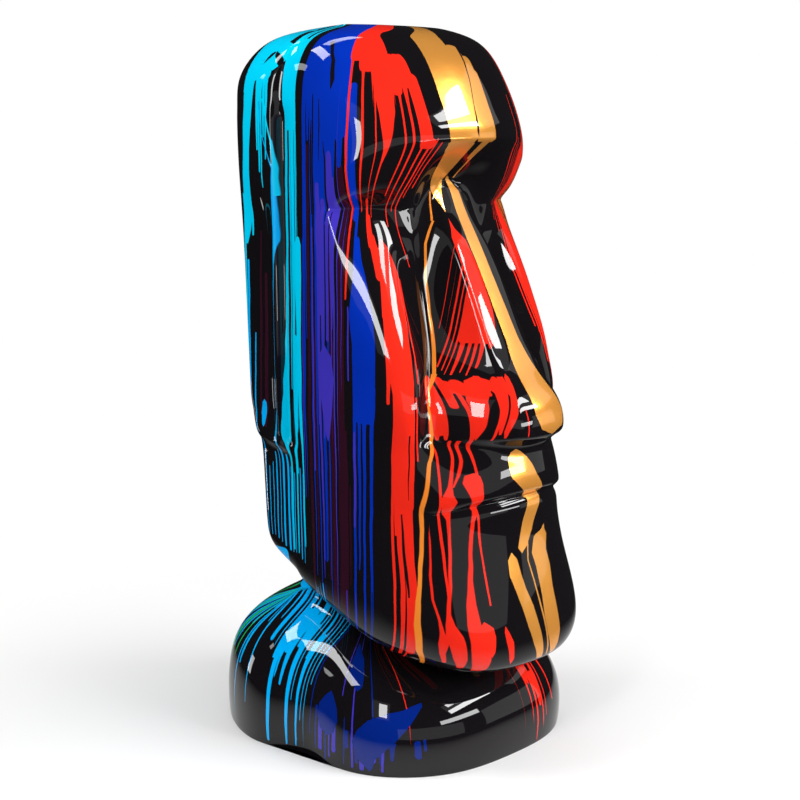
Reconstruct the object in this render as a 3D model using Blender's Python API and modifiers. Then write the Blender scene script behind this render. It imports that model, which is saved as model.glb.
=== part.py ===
"""A moai head statue on a shoulder base, moulded in one piece of resin and lacquered black.

The figure faces -Y and stands on the plane Z = 0, with +X on its left hand.
One closed cage of loops and columns carries the whole form. Half of it is built, on +X, and mirrored.
"""

from dataclasses import dataclass

import bmesh
import bpy

# Driving sizes, in metres. The carving follows them.
HEIGHT = 1.20
HEAD_WIDTH = 0.426
BASE_WIDTH = 0.54
NECK_WIDTH = 0.30

# The carving is free form, and is drawn in thousandths of the figure's height.
UNIT = HEIGHT / 1000
HEAD_HALF = HEAD_WIDTH / 2 / UNIT
BASE_HALF = BASE_WIDTH / 2 / UNIT
NECK_HALF = NECK_WIDTH / 2 / UNIT

SUBDIVISIONS = 2
MOST_TRIANGLES = 9600
LACQUER_BLACK = (0.012, 0.011, 0.011, 1.0)

# Columns of the half cage, from the middle of the front round to the middle of the back
NOSE_FOOT = 3
TEMPLE = 6
EAR_FRONT = 8
EAR_FRONT_RIM = 9
EAR_GROOVE = 10
EAR_BACK_RIM = 11
EAR_BACK = 12
COLUMNS = 16


@dataclass(frozen=True)
class Loop:
    """One loop of the head: its height in front, and where its first columns stand as (across, forward)."""

    height: float
    face: tuple
    side: float
    width: float
    drop: tuple = (0, 0, 0, 0, 0, 0, 0)
    back: float = 0
    ear: float = 0
    groove: float = 0


# The lean of the back and of the sides of the head, as (height, reach backward) and (height, share)
BACK = ((280, 97), (300, 101), (420, 106), (560, 125), (700, 138), (850, 145), (960, 143))
LEAN = ((300, 0.88), (420, 0.90), (500, 0.97), (692, 1.05), (830, 1.15), (930, 1.17), (1000, 1.0))

# How much higher each column's foot of the head stands than the chin, at the jaw
JAW_RISE = (0, 0, 0, 4, 11, 24, 42, 66, 92, 103, 115, 128, 143, 156, 160, 161)
JAW = 141
RISE_ENDS = 560

# Where the columns of the ear stand, forward of the middle of the head
SIDE_STATIONS = (-28, -31, -61, -93, -108)

LOOPS = (
    Loop(141, ((0, 268), (45, 265), (85, 247), (110, 220), (133, 183), (152, 138), (162, 92)), side=40,
         width=0.925),
    Loop(158, ((0, 284), (48, 281), (93, 265), (122, 238), (145, 198), (161, 148), (169, 95)), side=40,
         width=0.955),
    Loop(190, ((0, 288), (48, 286), (97, 271), (127, 245), (149, 204), (164, 154), (171, 98)), side=40,
         width=0.965),
    Loop(238, ((0, 281), (48, 278), (95, 260), (125, 234), (148, 194), (164, 150), (172, 100)), side=40,
         width=0.970),
    Loop(292, ((0, 271), (46, 267), (92, 244), (121, 214), (146, 176), (164, 138), (173, 102)), side=40,
         width=0.975),
    Loop(340, ((0, 261), (44, 258), (88, 237), (116, 208), (143, 170), (163, 133), (174, 104)), side=38,
         width=0.980),
    Loop(368, ((0, 266), (42, 262), (81, 242), (107, 216), (131, 188), (159, 143), (175, 106)), side=38,
         width=0.985, ear=0.1, drop=(0, -1, -7, -15, -23, -13, -5)),
    Loop(379, ((0, 256), (41, 252), (80, 235), (106, 211), (129, 188), (159, 144), (175, 107)), side=38,
         width=0.985, ear=0.5, drop=(0, -1, -7, -16, -26, -14, -5)),
    Loop(389, ((0, 270), (42, 266), (81, 246), (107, 220), (131, 192), (159, 145), (175, 108)), side=37,
         width=0.985, ear=0.85, groove=0.3, drop=(0, -1, -6, -15, -24, -13, -4)),
    Loop(412, ((0, 272), (42, 267), (81, 240), (106, 212), (131, 189), (158, 151), (176, 110)), side=37,
         width=0.990, ear=1.0, groove=0.8, drop=(0, 0, -2, -6, -10, -7, -2)),
    Loop(440, ((0, 262), (40, 258), (74, 236), (99, 208), (128, 184), (157, 158), (177, 113)), side=36,
         width=0.995, ear=1.0, groove=1.0),
    Loop(450, ((0, 268), (41, 264), (77, 229), (105, 178), (131, 183), (157, 163), (177, 115)), side=36,
         width=0.995, ear=1.0, groove=1.0),
    Loop(463, ((0, 286), (43, 280), (84, 232), (109, 168), (134, 183), (157, 169), (177, 118)), side=36,
         width=1.0, ear=1.0, groove=1.0),
    Loop(500, ((0, 289), (45, 279), (84, 231), (107, 168), (132, 185), (157, 177), (177, 122)), side=35,
         width=1.0, ear=1.0, groove=1.0),
    Loop(543, ((0, 243), (40, 238), (70, 190), (92, 157), (121, 173), (152, 170), (178, 119)), side=35,
         width=1.0, ear=1.0, groove=1.0),
    Loop(575, ((0, 222), (39, 218), (62, 170), (78, 144), (112, 160), (151, 167), (178, 111)), side=34,
         width=1.0, ear=1.0, groove=1.0),
    Loop(617, ((0, 200), (37, 197), (56, 148), (69, 127), (105, 139), (148, 151), (178, 98)), side=30,
         width=1.0, ear=1.0, groove=1.0),
    Loop(663, ((0, 176), (35, 173), (52, 130), (63, 112), (98, 119), (143, 134), (178, 81)), side=26,
         width=1.0, ear=1.0, groove=1.0),
    Loop(710, ((0, 151), (33, 148), (50, 113), (67, 103), (98, 103), (138, 107), (178, 64)), side=20,
         width=1.0, ear=1.0, groove=1.0),
    Loop(742, ((0, 128), (29, 125), (49, 101), (74, 106), (104, 94), (139, 82), (178, 53)), side=16,
         width=1.0, ear=1.0, groove=0.9),
    Loop(759, ((0, 118), (26, 115), (49, 97), (77, 108), (107, 91), (142, 70), (177, 47)), side=16,
         width=1.0, ear=1.0, groove=0.6),
    Loop(794, ((0, 99), (19, 98), (48, 103), (78, 127), (110, 114), (148, 92), (178, 61)), side=30,
         width=1.0, ear=1.0, drop=(0, 0, -1, 0, -2, -14, -25)),
    Loop(820, ((0, 133), (24, 131), (53, 135), (86, 138), (119, 123), (156, 99), (178, 71)), side=36,
         width=1.0, ear=1.0, drop=(0, 0, 0, 3, -2, -16, -32)),
    Loop(848, ((0, 171), (28, 168), (58, 162), (95, 147), (127, 126), (161, 103), (178, 78)), side=42,
         width=1.0, ear=1.0, drop=(0, 0, 0, -3, -9, -24, -48)),
    Loop(864, ((0, 170), (28, 168), (58, 162), (96, 147), (128, 127), (162, 104), (178, 76)), side=38,
         width=1.0, ear=1.0, drop=(0, 0, 0, -3, -8, -20, -38)),
    Loop(895, ((0, 155), (28, 153), (58, 147), (95, 132), (127, 113), (158, 89), (176, 57)), side=20,
         width=0.998, ear=1.0),
    Loop(930, ((0, 139), (28, 137), (57, 131), (93, 118), (122, 99), (149, 74), (170, 43)), side=10,
         width=0.995, ear=1.0),
    Loop(965, ((0, 117), (27, 115), (54, 109), (88, 97), (116, 80), (141, 57), (160, 27)), side=-2,
         width=0.925, back=-132, ear=0.45),
    Loop(987, ((0, 92), (24, 90), (47, 86), (76, 76), (101, 60), (123, 38), (138, 9)), side=-14,
         width=0.79, back=-110),
    Loop(998, ((0, 58), (16, 57), (32, 53), (50, 45), (67, 33), (80, 18), (88, 0)), side=-22,
         width=0.50, back=-74),
)

# Columns whose edges stay crisp between two heights: column, lowest, highest, strength
RIDGES = (
    (1, 463, 794, 0.55),
    (NOSE_FOOT, 500, 759, 0.45),
    (TEMPLE, 617, 759, 0.6),
    (TEMPLE, 543, 617, 0.3),
    (EAR_FRONT, 389, 895, 0.5),
    (EAR_FRONT_RIM, 389, 895, 0.4),
    (EAR_GROOVE, 440, 820, 0.2),
    (EAR_BACK_RIM, 440, 895, 0.2),
)

# Loops whose edges stay crisp between two columns: height, first, last, strength
CREASES = (
    (379, 0, 4, 0.7),
    (389, 0, 3, 0.35),
    (450, 0, 3, 0.3),
    (463, 0, 3, 0.4),
    (759, 3, 6, 0.7),
    (794, 0, 1, 0.6),
    (848, 0, 7, 0.75),
)

EAR_OUT = 21
GROOVE_IN = 24

# Columns of the base's outline at the floor, as (across, forward)
FOOT = ((0, 235), (46, 234), (92, 227), (134, 208), (170, 177), (196, 138), (207, 90), (199, 35), (208, -8),
        (221, -34), (223, -62), (217, -92), (204, -128), (168, -190), (90, -226), (0, -233))
FOOT_HALF = 223

# Columns of the neck's outline
NECK = ((0, 112), (26, 111), (52, 107), (76, 98), (96, 84), (111, 64), (120, 38), (124, 10), (125, -14),
        (124, -32), (122, -48), (118, -64), (110, -82), (88, -104), (48, -113), (0, -115))
NECK_MODEL_HALF = 125

# Shares of the way from the front to the back, for the heights of the base
BACKWARD = (0, 0, 0, 0.02, 0.06, 0.15, 0.35, 0.60, 0.75, 0.82, 0.88, 0.93, 0.97, 1, 1, 1)

# The base, from the floor up: height in front, height behind, share of the outline in front and behind
BASE = ((0, 0, 0.997, 0.997), (5, 5, 1.002, 1.002), (36, 42, 1.012, 1.010), (68, 84, 0.990, 1.0),
        (98, 122, 0.915, 0.960), (120, 156, 0.800, 0.850), (134, 180, 0.650, 0.680))


def blend(start, end, share):
    """The value a share of the way from start to end."""
    return start + (end - start) * share


def profile(knots, height):
    """The value of a profile of (height, value) knots at a height."""
    for (low, start), (high, end) in zip(knots, knots[1:]):
        if height <= high:
            return blend(start, end, max(0.0, (height - low) / (high - low)))
    return knots[-1][1]


def base_loops():
    """The loops of the base and the neck, each a list of (across, forward, up)."""
    loops = []
    across = BASE_HALF / FOOT_HALF
    for low, high, front, behind in BASE:
        loop = []
        for column, (x, forward) in enumerate(FOOT):
            share = blend(front, behind, BACKWARD[column])
            loop.append((x * across * share, forward * share, blend(low, high, BACKWARD[column])))
        loops.append(loop)
    across = NECK_HALF / NECK_MODEL_HALF
    for low, high, share in ((146, 202, 0.98), (160, 228, 0.92)):
        loop = []
        for column, (x, forward) in enumerate(NECK):
            loop.append((x * across * share, forward * share, blend(low, high, BACKWARD[column])))
        loops.append(loop)
    return loops


def head_loop(loop):
    """One loop of the head, a list of (across, forward, up)."""
    half = HEAD_HALF * loop.width
    scale = HEAD_HALF / 177.5
    left = max(0.0, 1 - (loop.height - JAW) / (RISE_ENDS - JAW))
    points = []
    for column, (x, forward) in enumerate(loop.face):
        points.append((x * scale, forward, loop.height + loop.drop[column]))
    points.append((half, loop.side, loop.height + loop.drop[TEMPLE] * 0.6))
    out = (0, EAR_OUT, EAR_OUT - GROOVE_IN * loop.groove, EAR_OUT, 0)
    for station, lift in zip(SIDE_STATIONS, out):
        points.append((half + lift * loop.ear, station * loop.width, loop.height))
    points.extend(((half * 0.80, 0, loop.height), (half * 0.42, 0, loop.height), (0, 0, loop.height)))
    raised = [(x, f, z + JAW_RISE[column] * left) for column, (x, f, z) in enumerate(points)]
    for column in range(EAR_FRONT, COLUMNS):
        x, forward, up = raised[column]
        if column <= EAR_BACK:
            forward *= profile(LEAN, up)
        else:
            share = 0.96 if column == EAR_BACK + 1 else 1.0
            forward = share * (loop.back or -profile(BACK, up))
        raised[column] = (x, forward, up)
    return raised


def between(first, second, share, lift):
    """A loop a share of the way between two others, and raised."""
    loop = []
    for start, end in zip(first, second):
        x, forward, up = (blend(a, b, share) for a, b in zip(start, end))
        loop.append((x, forward, up + lift))
    return loop


def all_loops():
    """Every loop of the half cage, from the floor to the crown."""
    loops = base_loops()
    head = [head_loop(loop) for loop in LOOPS]
    neck = loops[-1]
    loops.append(between(neck, head[0], 0.45, 6))
    loops.append(between(neck, head[0], 0.86, 2))
    return loops + head


def cap(bm, ring, rows, lift):
    """Closes a loop with stripes, each from a front column to the back column that faces it."""
    last = COLUMNS - 1
    lines = []
    for column in range(COLUMNS // 2 - 1):
        start = ring[column]
        end = ring[last - column]
        line = [start]
        for row in range(1, rows + 1):
            spot = start.co.lerp(end.co, row / (rows + 1))
            spot.z += lift * UNIT
            line.append(bm.verts.new(spot))
        lines.append(line + [end])
    for one, other in zip(lines, lines[1:]):
        for row in range(rows + 1):
            bm.faces.new((one[row], one[row + 1], other[row + 1], other[row]))
    bm.faces.new(lines[-1] + [ring[last // 2 + 1], ring[last // 2]])


def statue_mesh():
    """Builds the half cage as a mesh, open along the plane of symmetry."""
    bm = bmesh.new()
    creases = bm.edges.layers.float.new("crease_edge")
    rings = []
    for loop in all_loops():
        rings.append([bm.verts.new((x * UNIT, -forward * UNIT, up * UNIT)) for x, forward, up in loop])
    for lower, upper in zip(rings, rings[1:]):
        for column in range(COLUMNS - 1):
            bm.faces.new((lower[column], lower[column + 1], upper[column + 1], upper[column]))
    cap(bm, rings[0], 3, 0)
    cap(bm, rings[-1], 3, 2.4)
    head = dict(zip([loop.height for loop in LOOPS], rings[len(rings) - len(LOOPS):]))
    for column in range(COLUMNS - 1):
        bm.edges.get((rings[0][column], rings[0][column + 1]))[creases] = 1.0
    for height, first, last, strength in CREASES:
        for column in range(first, last):
            bm.edges.get((head[height][column], head[height][column + 1]))[creases] = strength
    heights = list(head)
    for column, lowest, highest, strength in RIDGES:
        for low, high in zip(heights, heights[1:]):
            if low >= lowest and high <= highest:
                bm.edges.get((head[low][column], head[high][column]))[creases] = strength
    for vert in bm.verts:
        if abs(vert.co.x) < 1e-6:
            vert.co.x = 0
    bmesh.ops.recalc_face_normals(bm, faces=bm.faces)
    mesh = bpy.data.meshes.new("moai_statue")
    bm.to_mesh(mesh)
    bm.free()
    return mesh


def black_lacquer():
    """The material of the whole figure."""
    material = bpy.data.materials.new("black_lacquer")
    material.use_nodes = True
    shader = material.node_tree.nodes["Principled BSDF"]
    shader.inputs["Base Color"].default_value = LACQUER_BLACK
    shader.inputs["Roughness"].default_value = 0.08
    shader.inputs["Metallic"].default_value = 0.0
    shader.inputs["Coat Weight"].default_value = 1.0
    material.diffuse_color = LACQUER_BLACK
    return material


def main():
    for obj in list(bpy.data.objects):
        bpy.data.objects.remove(obj)
    collection = bpy.data.collections.new("moai_statue")
    bpy.context.scene.collection.children.link(collection)
    statue = bpy.data.objects.new("moai_statue", statue_mesh())
    collection.objects.link(statue)
    statue.data.materials.append(black_lacquer())
    mirror = statue.modifiers.new("mirror", "MIRROR")
    mirror.use_axis = (True, False, False)
    mirror.merge_threshold = 0.0001
    mirror.use_clip = True
    smooth = statue.modifiers.new("subdivision", "SUBSURF")
    smooth.levels = SUBDIVISIONS
    smooth.render_levels = SUBDIVISIONS
    for face in statue.data.polygons:
        face.use_smooth = True
    full = len(statue.data.polygons) * 2 * 4 ** SUBDIVISIONS * 2
    lighten = statue.modifiers.new("lighten", "DECIMATE")
    lighten.ratio = MOST_TRIANGLES / full
    lighten.use_symmetry = True
    lighten.symmetry_axis = "X"


if __name__ == "__main__":
    main()
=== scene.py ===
"""The looks of a moai head statue: gloss black lacquer under poured runs of coloured paint.

The figure faces -Y and stands on the plane Z = 0, with +X on its left hand. Sizes are in metres unless a
name or a comment says otherwise.
"""

import logging
import math
from dataclasses import dataclass, field
from enum import Enum
from typing import ClassVar

import bmesh
import bpy
import numpy as np
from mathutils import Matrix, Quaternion, Vector


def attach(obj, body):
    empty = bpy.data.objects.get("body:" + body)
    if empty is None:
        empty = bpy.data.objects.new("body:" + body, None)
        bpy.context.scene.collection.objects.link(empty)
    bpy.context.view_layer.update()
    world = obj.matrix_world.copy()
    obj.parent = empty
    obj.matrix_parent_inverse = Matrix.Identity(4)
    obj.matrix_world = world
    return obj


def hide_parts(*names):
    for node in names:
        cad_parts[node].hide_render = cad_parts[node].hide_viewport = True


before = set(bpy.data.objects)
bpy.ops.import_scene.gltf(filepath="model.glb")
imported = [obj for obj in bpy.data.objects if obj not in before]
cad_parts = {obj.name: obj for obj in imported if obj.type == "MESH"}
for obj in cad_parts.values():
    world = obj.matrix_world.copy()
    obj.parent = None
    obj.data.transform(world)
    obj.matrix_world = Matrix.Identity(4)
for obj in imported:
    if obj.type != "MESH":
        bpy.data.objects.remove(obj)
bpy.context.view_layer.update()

LOG = logging.getLogger("poured_moai")
NODE = "moai_statue"
SLOT = "black_lacquer"
MM = 0.001

# Driving sizes of the carving, the same as the solid's
HEIGHT = 1.20
HEAD_WIDTH = 0.426
BASE_WIDTH = 0.54
NECK_WIDTH = 0.30

UNIT = HEIGHT / 1000
COLUMNS = 16
COLUMN_TEMPLE = 6
COLUMN_EAR_FRONT = 8
COLUMN_EAR_BACK = 12


@dataclass(frozen=True)
class Loop:
    """One loop of the head, in thousandths of the height.

    height: where it stands in front. face: its first columns as (across, forward). side: how far forward
    the middle of the cheek stands. width: share of the head's width. drop: how much its first columns are
    raised. back: how far it reaches backward, or 0 for the head's own profile. ear, groove: how much of
    each shows.
    """

    height: float
    face: tuple
    side: float
    width: float
    drop: tuple = (0, 0, 0, 0, 0, 0, 0)
    back: float = 0
    ear: float = 0
    groove: float = 0


HEAD_LOOPS = (
    Loop(141, ((0, 268), (45, 265), (85, 247), (110, 220), (133, 183), (152, 138), (162, 92)), side=40,
         width=0.925),
    Loop(158, ((0, 284), (48, 281), (93, 265), (122, 238), (145, 198), (161, 148), (169, 95)), side=40,
         width=0.955),
    Loop(190, ((0, 288), (48, 286), (97, 271), (127, 245), (149, 204), (164, 154), (171, 98)), side=40,
         width=0.965),
    Loop(238, ((0, 281), (48, 278), (95, 260), (125, 234), (148, 194), (164, 150), (172, 100)), side=40,
         width=0.970),
    Loop(292, ((0, 271), (46, 267), (92, 244), (121, 214), (146, 176), (164, 138), (173, 102)), side=40,
         width=0.975),
    Loop(340, ((0, 261), (44, 258), (88, 237), (116, 208), (143, 170), (163, 133), (174, 104)), side=38,
         width=0.980),
    Loop(368, ((0, 266), (42, 262), (81, 242), (107, 216), (131, 188), (159, 143), (175, 106)), side=38,
         width=0.985, ear=0.1, drop=(0, -1, -7, -15, -23, -13, -5)),
    Loop(379, ((0, 256), (41, 252), (80, 235), (106, 211), (129, 188), (159, 144), (175, 107)), side=38,
         width=0.985, ear=0.5, drop=(0, -1, -7, -16, -26, -14, -5)),
    Loop(389, ((0, 270), (42, 266), (81, 246), (107, 220), (131, 192), (159, 145), (175, 108)), side=37,
         width=0.985, ear=0.85, groove=0.3, drop=(0, -1, -6, -15, -24, -13, -4)),
    Loop(412, ((0, 272), (42, 267), (81, 240), (106, 212), (131, 189), (158, 151), (176, 110)), side=37,
         width=0.990, ear=1.0, groove=0.8, drop=(0, 0, -2, -6, -10, -7, -2)),
    Loop(440, ((0, 262), (40, 258), (74, 236), (99, 208), (128, 184), (157, 158), (177, 113)), side=36,
         width=0.995, ear=1.0, groove=1.0),
    Loop(450, ((0, 268), (41, 264), (77, 229), (105, 178), (131, 183), (157, 163), (177, 115)), side=36,
         width=0.995, ear=1.0, groove=1.0),
    Loop(463, ((0, 286), (43, 280), (84, 232), (109, 168), (134, 183), (157, 169), (177, 118)), side=36,
         width=1.0, ear=1.0, groove=1.0),
    Loop(500, ((0, 289), (45, 279), (84, 231), (107, 168), (132, 185), (157, 177), (177, 122)), side=35,
         width=1.0, ear=1.0, groove=1.0),
    Loop(543, ((0, 243), (40, 238), (70, 190), (92, 157), (121, 173), (152, 170), (178, 119)), side=35,
         width=1.0, ear=1.0, groove=1.0),
    Loop(575, ((0, 222), (39, 218), (62, 170), (78, 144), (112, 160), (151, 167), (178, 111)), side=34,
         width=1.0, ear=1.0, groove=1.0),
    Loop(617, ((0, 200), (37, 197), (56, 148), (69, 127), (105, 139), (148, 151), (178, 98)), side=30,
         width=1.0, ear=1.0, groove=1.0),
    Loop(663, ((0, 176), (35, 173), (52, 130), (63, 112), (98, 119), (143, 134), (178, 81)), side=26,
         width=1.0, ear=1.0, groove=1.0),
    Loop(710, ((0, 151), (33, 148), (50, 113), (67, 103), (98, 103), (138, 107), (178, 64)), side=20,
         width=1.0, ear=1.0, groove=1.0),
    Loop(742, ((0, 128), (29, 125), (49, 101), (74, 106), (104, 94), (139, 82), (178, 53)), side=16,
         width=1.0, ear=1.0, groove=0.9),
    Loop(759, ((0, 118), (26, 115), (49, 97), (77, 108), (107, 91), (142, 70), (177, 47)), side=16,
         width=1.0, ear=1.0, groove=0.6),
    Loop(794, ((0, 99), (19, 98), (48, 103), (78, 127), (110, 114), (148, 92), (178, 61)), side=30,
         width=1.0, ear=1.0, drop=(0, 0, -1, 0, -2, -14, -25)),
    Loop(820, ((0, 133), (24, 131), (53, 135), (86, 138), (119, 123), (156, 99), (178, 71)), side=36,
         width=1.0, ear=1.0, drop=(0, 0, 0, 3, -2, -16, -32)),
    Loop(848, ((0, 171), (28, 168), (58, 162), (95, 147), (127, 126), (161, 103), (178, 78)), side=42,
         width=1.0, ear=1.0, drop=(0, 0, 0, -3, -9, -24, -48)),
    Loop(864, ((0, 170), (28, 168), (58, 162), (96, 147), (128, 127), (162, 104), (178, 76)), side=38,
         width=1.0, ear=1.0, drop=(0, 0, 0, -3, -8, -20, -38)),
    Loop(895, ((0, 155), (28, 153), (58, 147), (95, 132), (127, 113), (158, 89), (176, 57)), side=20,
         width=0.998, ear=1.0),
    Loop(930, ((0, 139), (28, 137), (57, 131), (93, 118), (122, 99), (149, 74), (170, 43)), side=10,
         width=0.995, ear=1.0),
    Loop(965, ((0, 117), (27, 115), (54, 109), (88, 97), (116, 80), (141, 57), (160, 27)), side=-2,
         width=0.925, back=-132, ear=0.45),
    Loop(987, ((0, 92), (24, 90), (47, 86), (76, 76), (101, 60), (123, 38), (138, 9)), side=-14,
         width=0.79, back=-110),
    Loop(998, ((0, 58), (16, 57), (32, 53), (50, 45), (67, 33), (80, 18), (88, 0)), side=-22,
         width=0.50, back=-74),
)

# Columns whose edges stay crisp between two heights: column, lowest, highest, strength
RIDGES = (
    (1, 463, 794, 0.55),
    (3, 500, 759, 0.45),
    (6, 617, 759, 0.6),
    (6, 543, 617, 0.3),
    (8, 389, 895, 0.5),
    (9, 389, 895, 0.4),
    (10, 440, 820, 0.2),
    (11, 440, 895, 0.2),
)

# Loops whose edges stay crisp between two columns: height, first, last, strength
CREASES = (
    (379, 0, 4, 0.7),
    (389, 0, 3, 0.35),
    (450, 0, 3, 0.3),
    (463, 0, 3, 0.4),
    (759, 3, 6, 0.7),
    (794, 0, 1, 0.6),
    (848, 0, 7, 0.75),
)


def blend(start: float, end: float, share: float) -> float:
    """Gives the value a share of the way from start to end."""
    return start + (end - start) * share


def profile(knots: tuple, height: float) -> float:
    """Gives the value of a profile at a height.

    Args:
        knots: (height, value) pairs, from the lowest up.
        height: where to read it.

    Returns:
        The value, blended between the two nearest knots.
    """
    for (low, start), (high, end) in zip(knots, knots[1:]):
        if height <= high:
            return blend(start, end, max(0.0, (height - low) / (high - low)))
    return knots[-1][1]


@dataclass(frozen=True)
class ShoulderBase:
    """The rounded base and the neck, in thousandths of the height.

    foot, neck: columns of an outline as (across, forward), with the half width that each is drawn at.
    backward: how far each column is from the front, as a share. rows: height in front, height behind, and
    share of the foot's outline in front and behind. collar: the neck's two loops, with one share each.
    """

    foot: tuple = ((0, 235), (46, 234), (92, 227), (134, 208), (170, 177), (196, 138), (207, 90), (199, 35),
                   (208, -8), (221, -34), (223, -62), (217, -92), (204, -128), (168, -190), (90, -226),
                   (0, -233))
    foot_half: float = 223
    neck: tuple = ((0, 112), (26, 111), (52, 107), (76, 98), (96, 84), (111, 64), (120, 38), (124, 10),
                   (125, -14), (124, -32), (122, -48), (118, -64), (110, -82), (88, -104), (48, -113),
                   (0, -115))
    neck_half: float = 125
    backward: tuple = (0, 0, 0, 0.02, 0.06, 0.15, 0.35, 0.60, 0.75, 0.82, 0.88, 0.93, 0.97, 1, 1, 1)
    rows: tuple = ((0, 0, 0.997, 0.997), (5, 5, 1.002, 1.002), (36, 42, 1.012, 1.010), (68, 84, 0.990, 1.0),
                   (98, 122, 0.915, 0.960), (120, 156, 0.800, 0.850), (134, 180, 0.650, 0.680))
    collar: tuple = ((146, 202, 0.98), (160, 228, 0.92))

    def loops(self) -> list:
        """Lays out the loops of the base and the neck.

        Returns:
            Lists of (across, forward, up), from the floor up.
        """
        loops = []
        across = BASE_WIDTH / 2 / UNIT / self.foot_half
        for low, high, front, behind in self.rows:
            loop = []
            for column, (x, forward) in enumerate(self.foot):
                share = blend(front, behind, self.backward[column])
                loop.append((x * across * share, forward * share, blend(low, high, self.backward[column])))
            loops.append(loop)
        across = NECK_WIDTH / 2 / UNIT / self.neck_half
        for low, high, share in self.collar:
            loop = []
            for column, (x, forward) in enumerate(self.neck):
                loop.append((x * across * share, forward * share, blend(low, high, self.backward[column])))
            loops.append(loop)
        return loops


@dataclass(frozen=True)
class CarvedHead:
    """The head from the jaw to the crown, in thousandths of the height.

    back: the reach of the back, as (height, reach). lean: how the ears and sides lean, as (height, share).
    jaw_rise: how much higher each column's foot stands than the chin, which fades out at rise_ends.
    stations: where the ear's columns stand. ear_out, groove_in: how far the ear stands out, and how deep
    its groove is. drawn_half: the half width that the face's columns are drawn at. side_drop: how much of
    the temple's raising the side takes. back_shares: the half widths of the back's columns. back_edge: how
    far backward the first of them stands. All three are shares.
    """

    back: tuple = ((280, 97), (300, 101), (420, 106), (560, 125), (700, 138), (850, 145), (960, 143))
    lean: tuple = ((300, 0.88), (420, 0.90), (500, 0.97), (692, 1.05), (830, 1.15), (930, 1.17),
                   (1000, 1.0))
    jaw_rise: tuple = (0, 0, 0, 4, 11, 24, 42, 66, 92, 103, 115, 128, 143, 156, 160, 161)
    jaw: float = 141
    rise_ends: float = 560
    stations: tuple = (-28, -31, -61, -93, -108)
    ear_out: float = 21
    groove_in: float = 24
    drawn_half: float = 177.5
    side_drop: float = 0.6
    back_shares: tuple = (0.80, 0.42, 0)
    back_edge: float = 0.96

    def loop(self, row: Loop) -> list:
        """Lays out one loop of the head.

        Args:
            row: the loop's shape.

        Returns:
            A list of (across, forward, up).
        """
        scale = HEAD_WIDTH / 2 / UNIT / self.drawn_half
        half = HEAD_WIDTH / 2 / UNIT * row.width
        left = max(0.0, 1 - (row.height - self.jaw) / (self.rise_ends - self.jaw))
        points = []
        for column, (x, forward) in enumerate(row.face):
            points.append((x * scale, forward, row.height + row.drop[column]))
        points.append((half, row.side, row.height + row.drop[COLUMN_TEMPLE] * self.side_drop))
        out = (0, self.ear_out, self.ear_out - self.groove_in * row.groove, self.ear_out, 0)
        for station, lift in zip(self.stations, out):
            points.append((half + lift * row.ear, station * row.width, row.height))
        for share in self.back_shares:
            points.append((half * share, 0, row.height))
        raised = [(x, f, z + self.jaw_rise[column] * left) for column, (x, f, z) in enumerate(points)]
        for column in range(COLUMN_EAR_FRONT, COLUMNS):
            x, forward, up = raised[column]
            if column <= COLUMN_EAR_BACK:
                forward *= profile(self.lean, up)
            else:
                share = self.back_edge if column == COLUMN_EAR_BACK + 1 else 1.0
                forward = share * (row.back or -profile(self.back, up))
            raised[column] = (x, forward, up)
        return raised

    def loops(self) -> list:
        """Lays out every loop of the head, from the jaw up."""
        return [self.loop(row) for row in HEAD_LOOPS]


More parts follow.
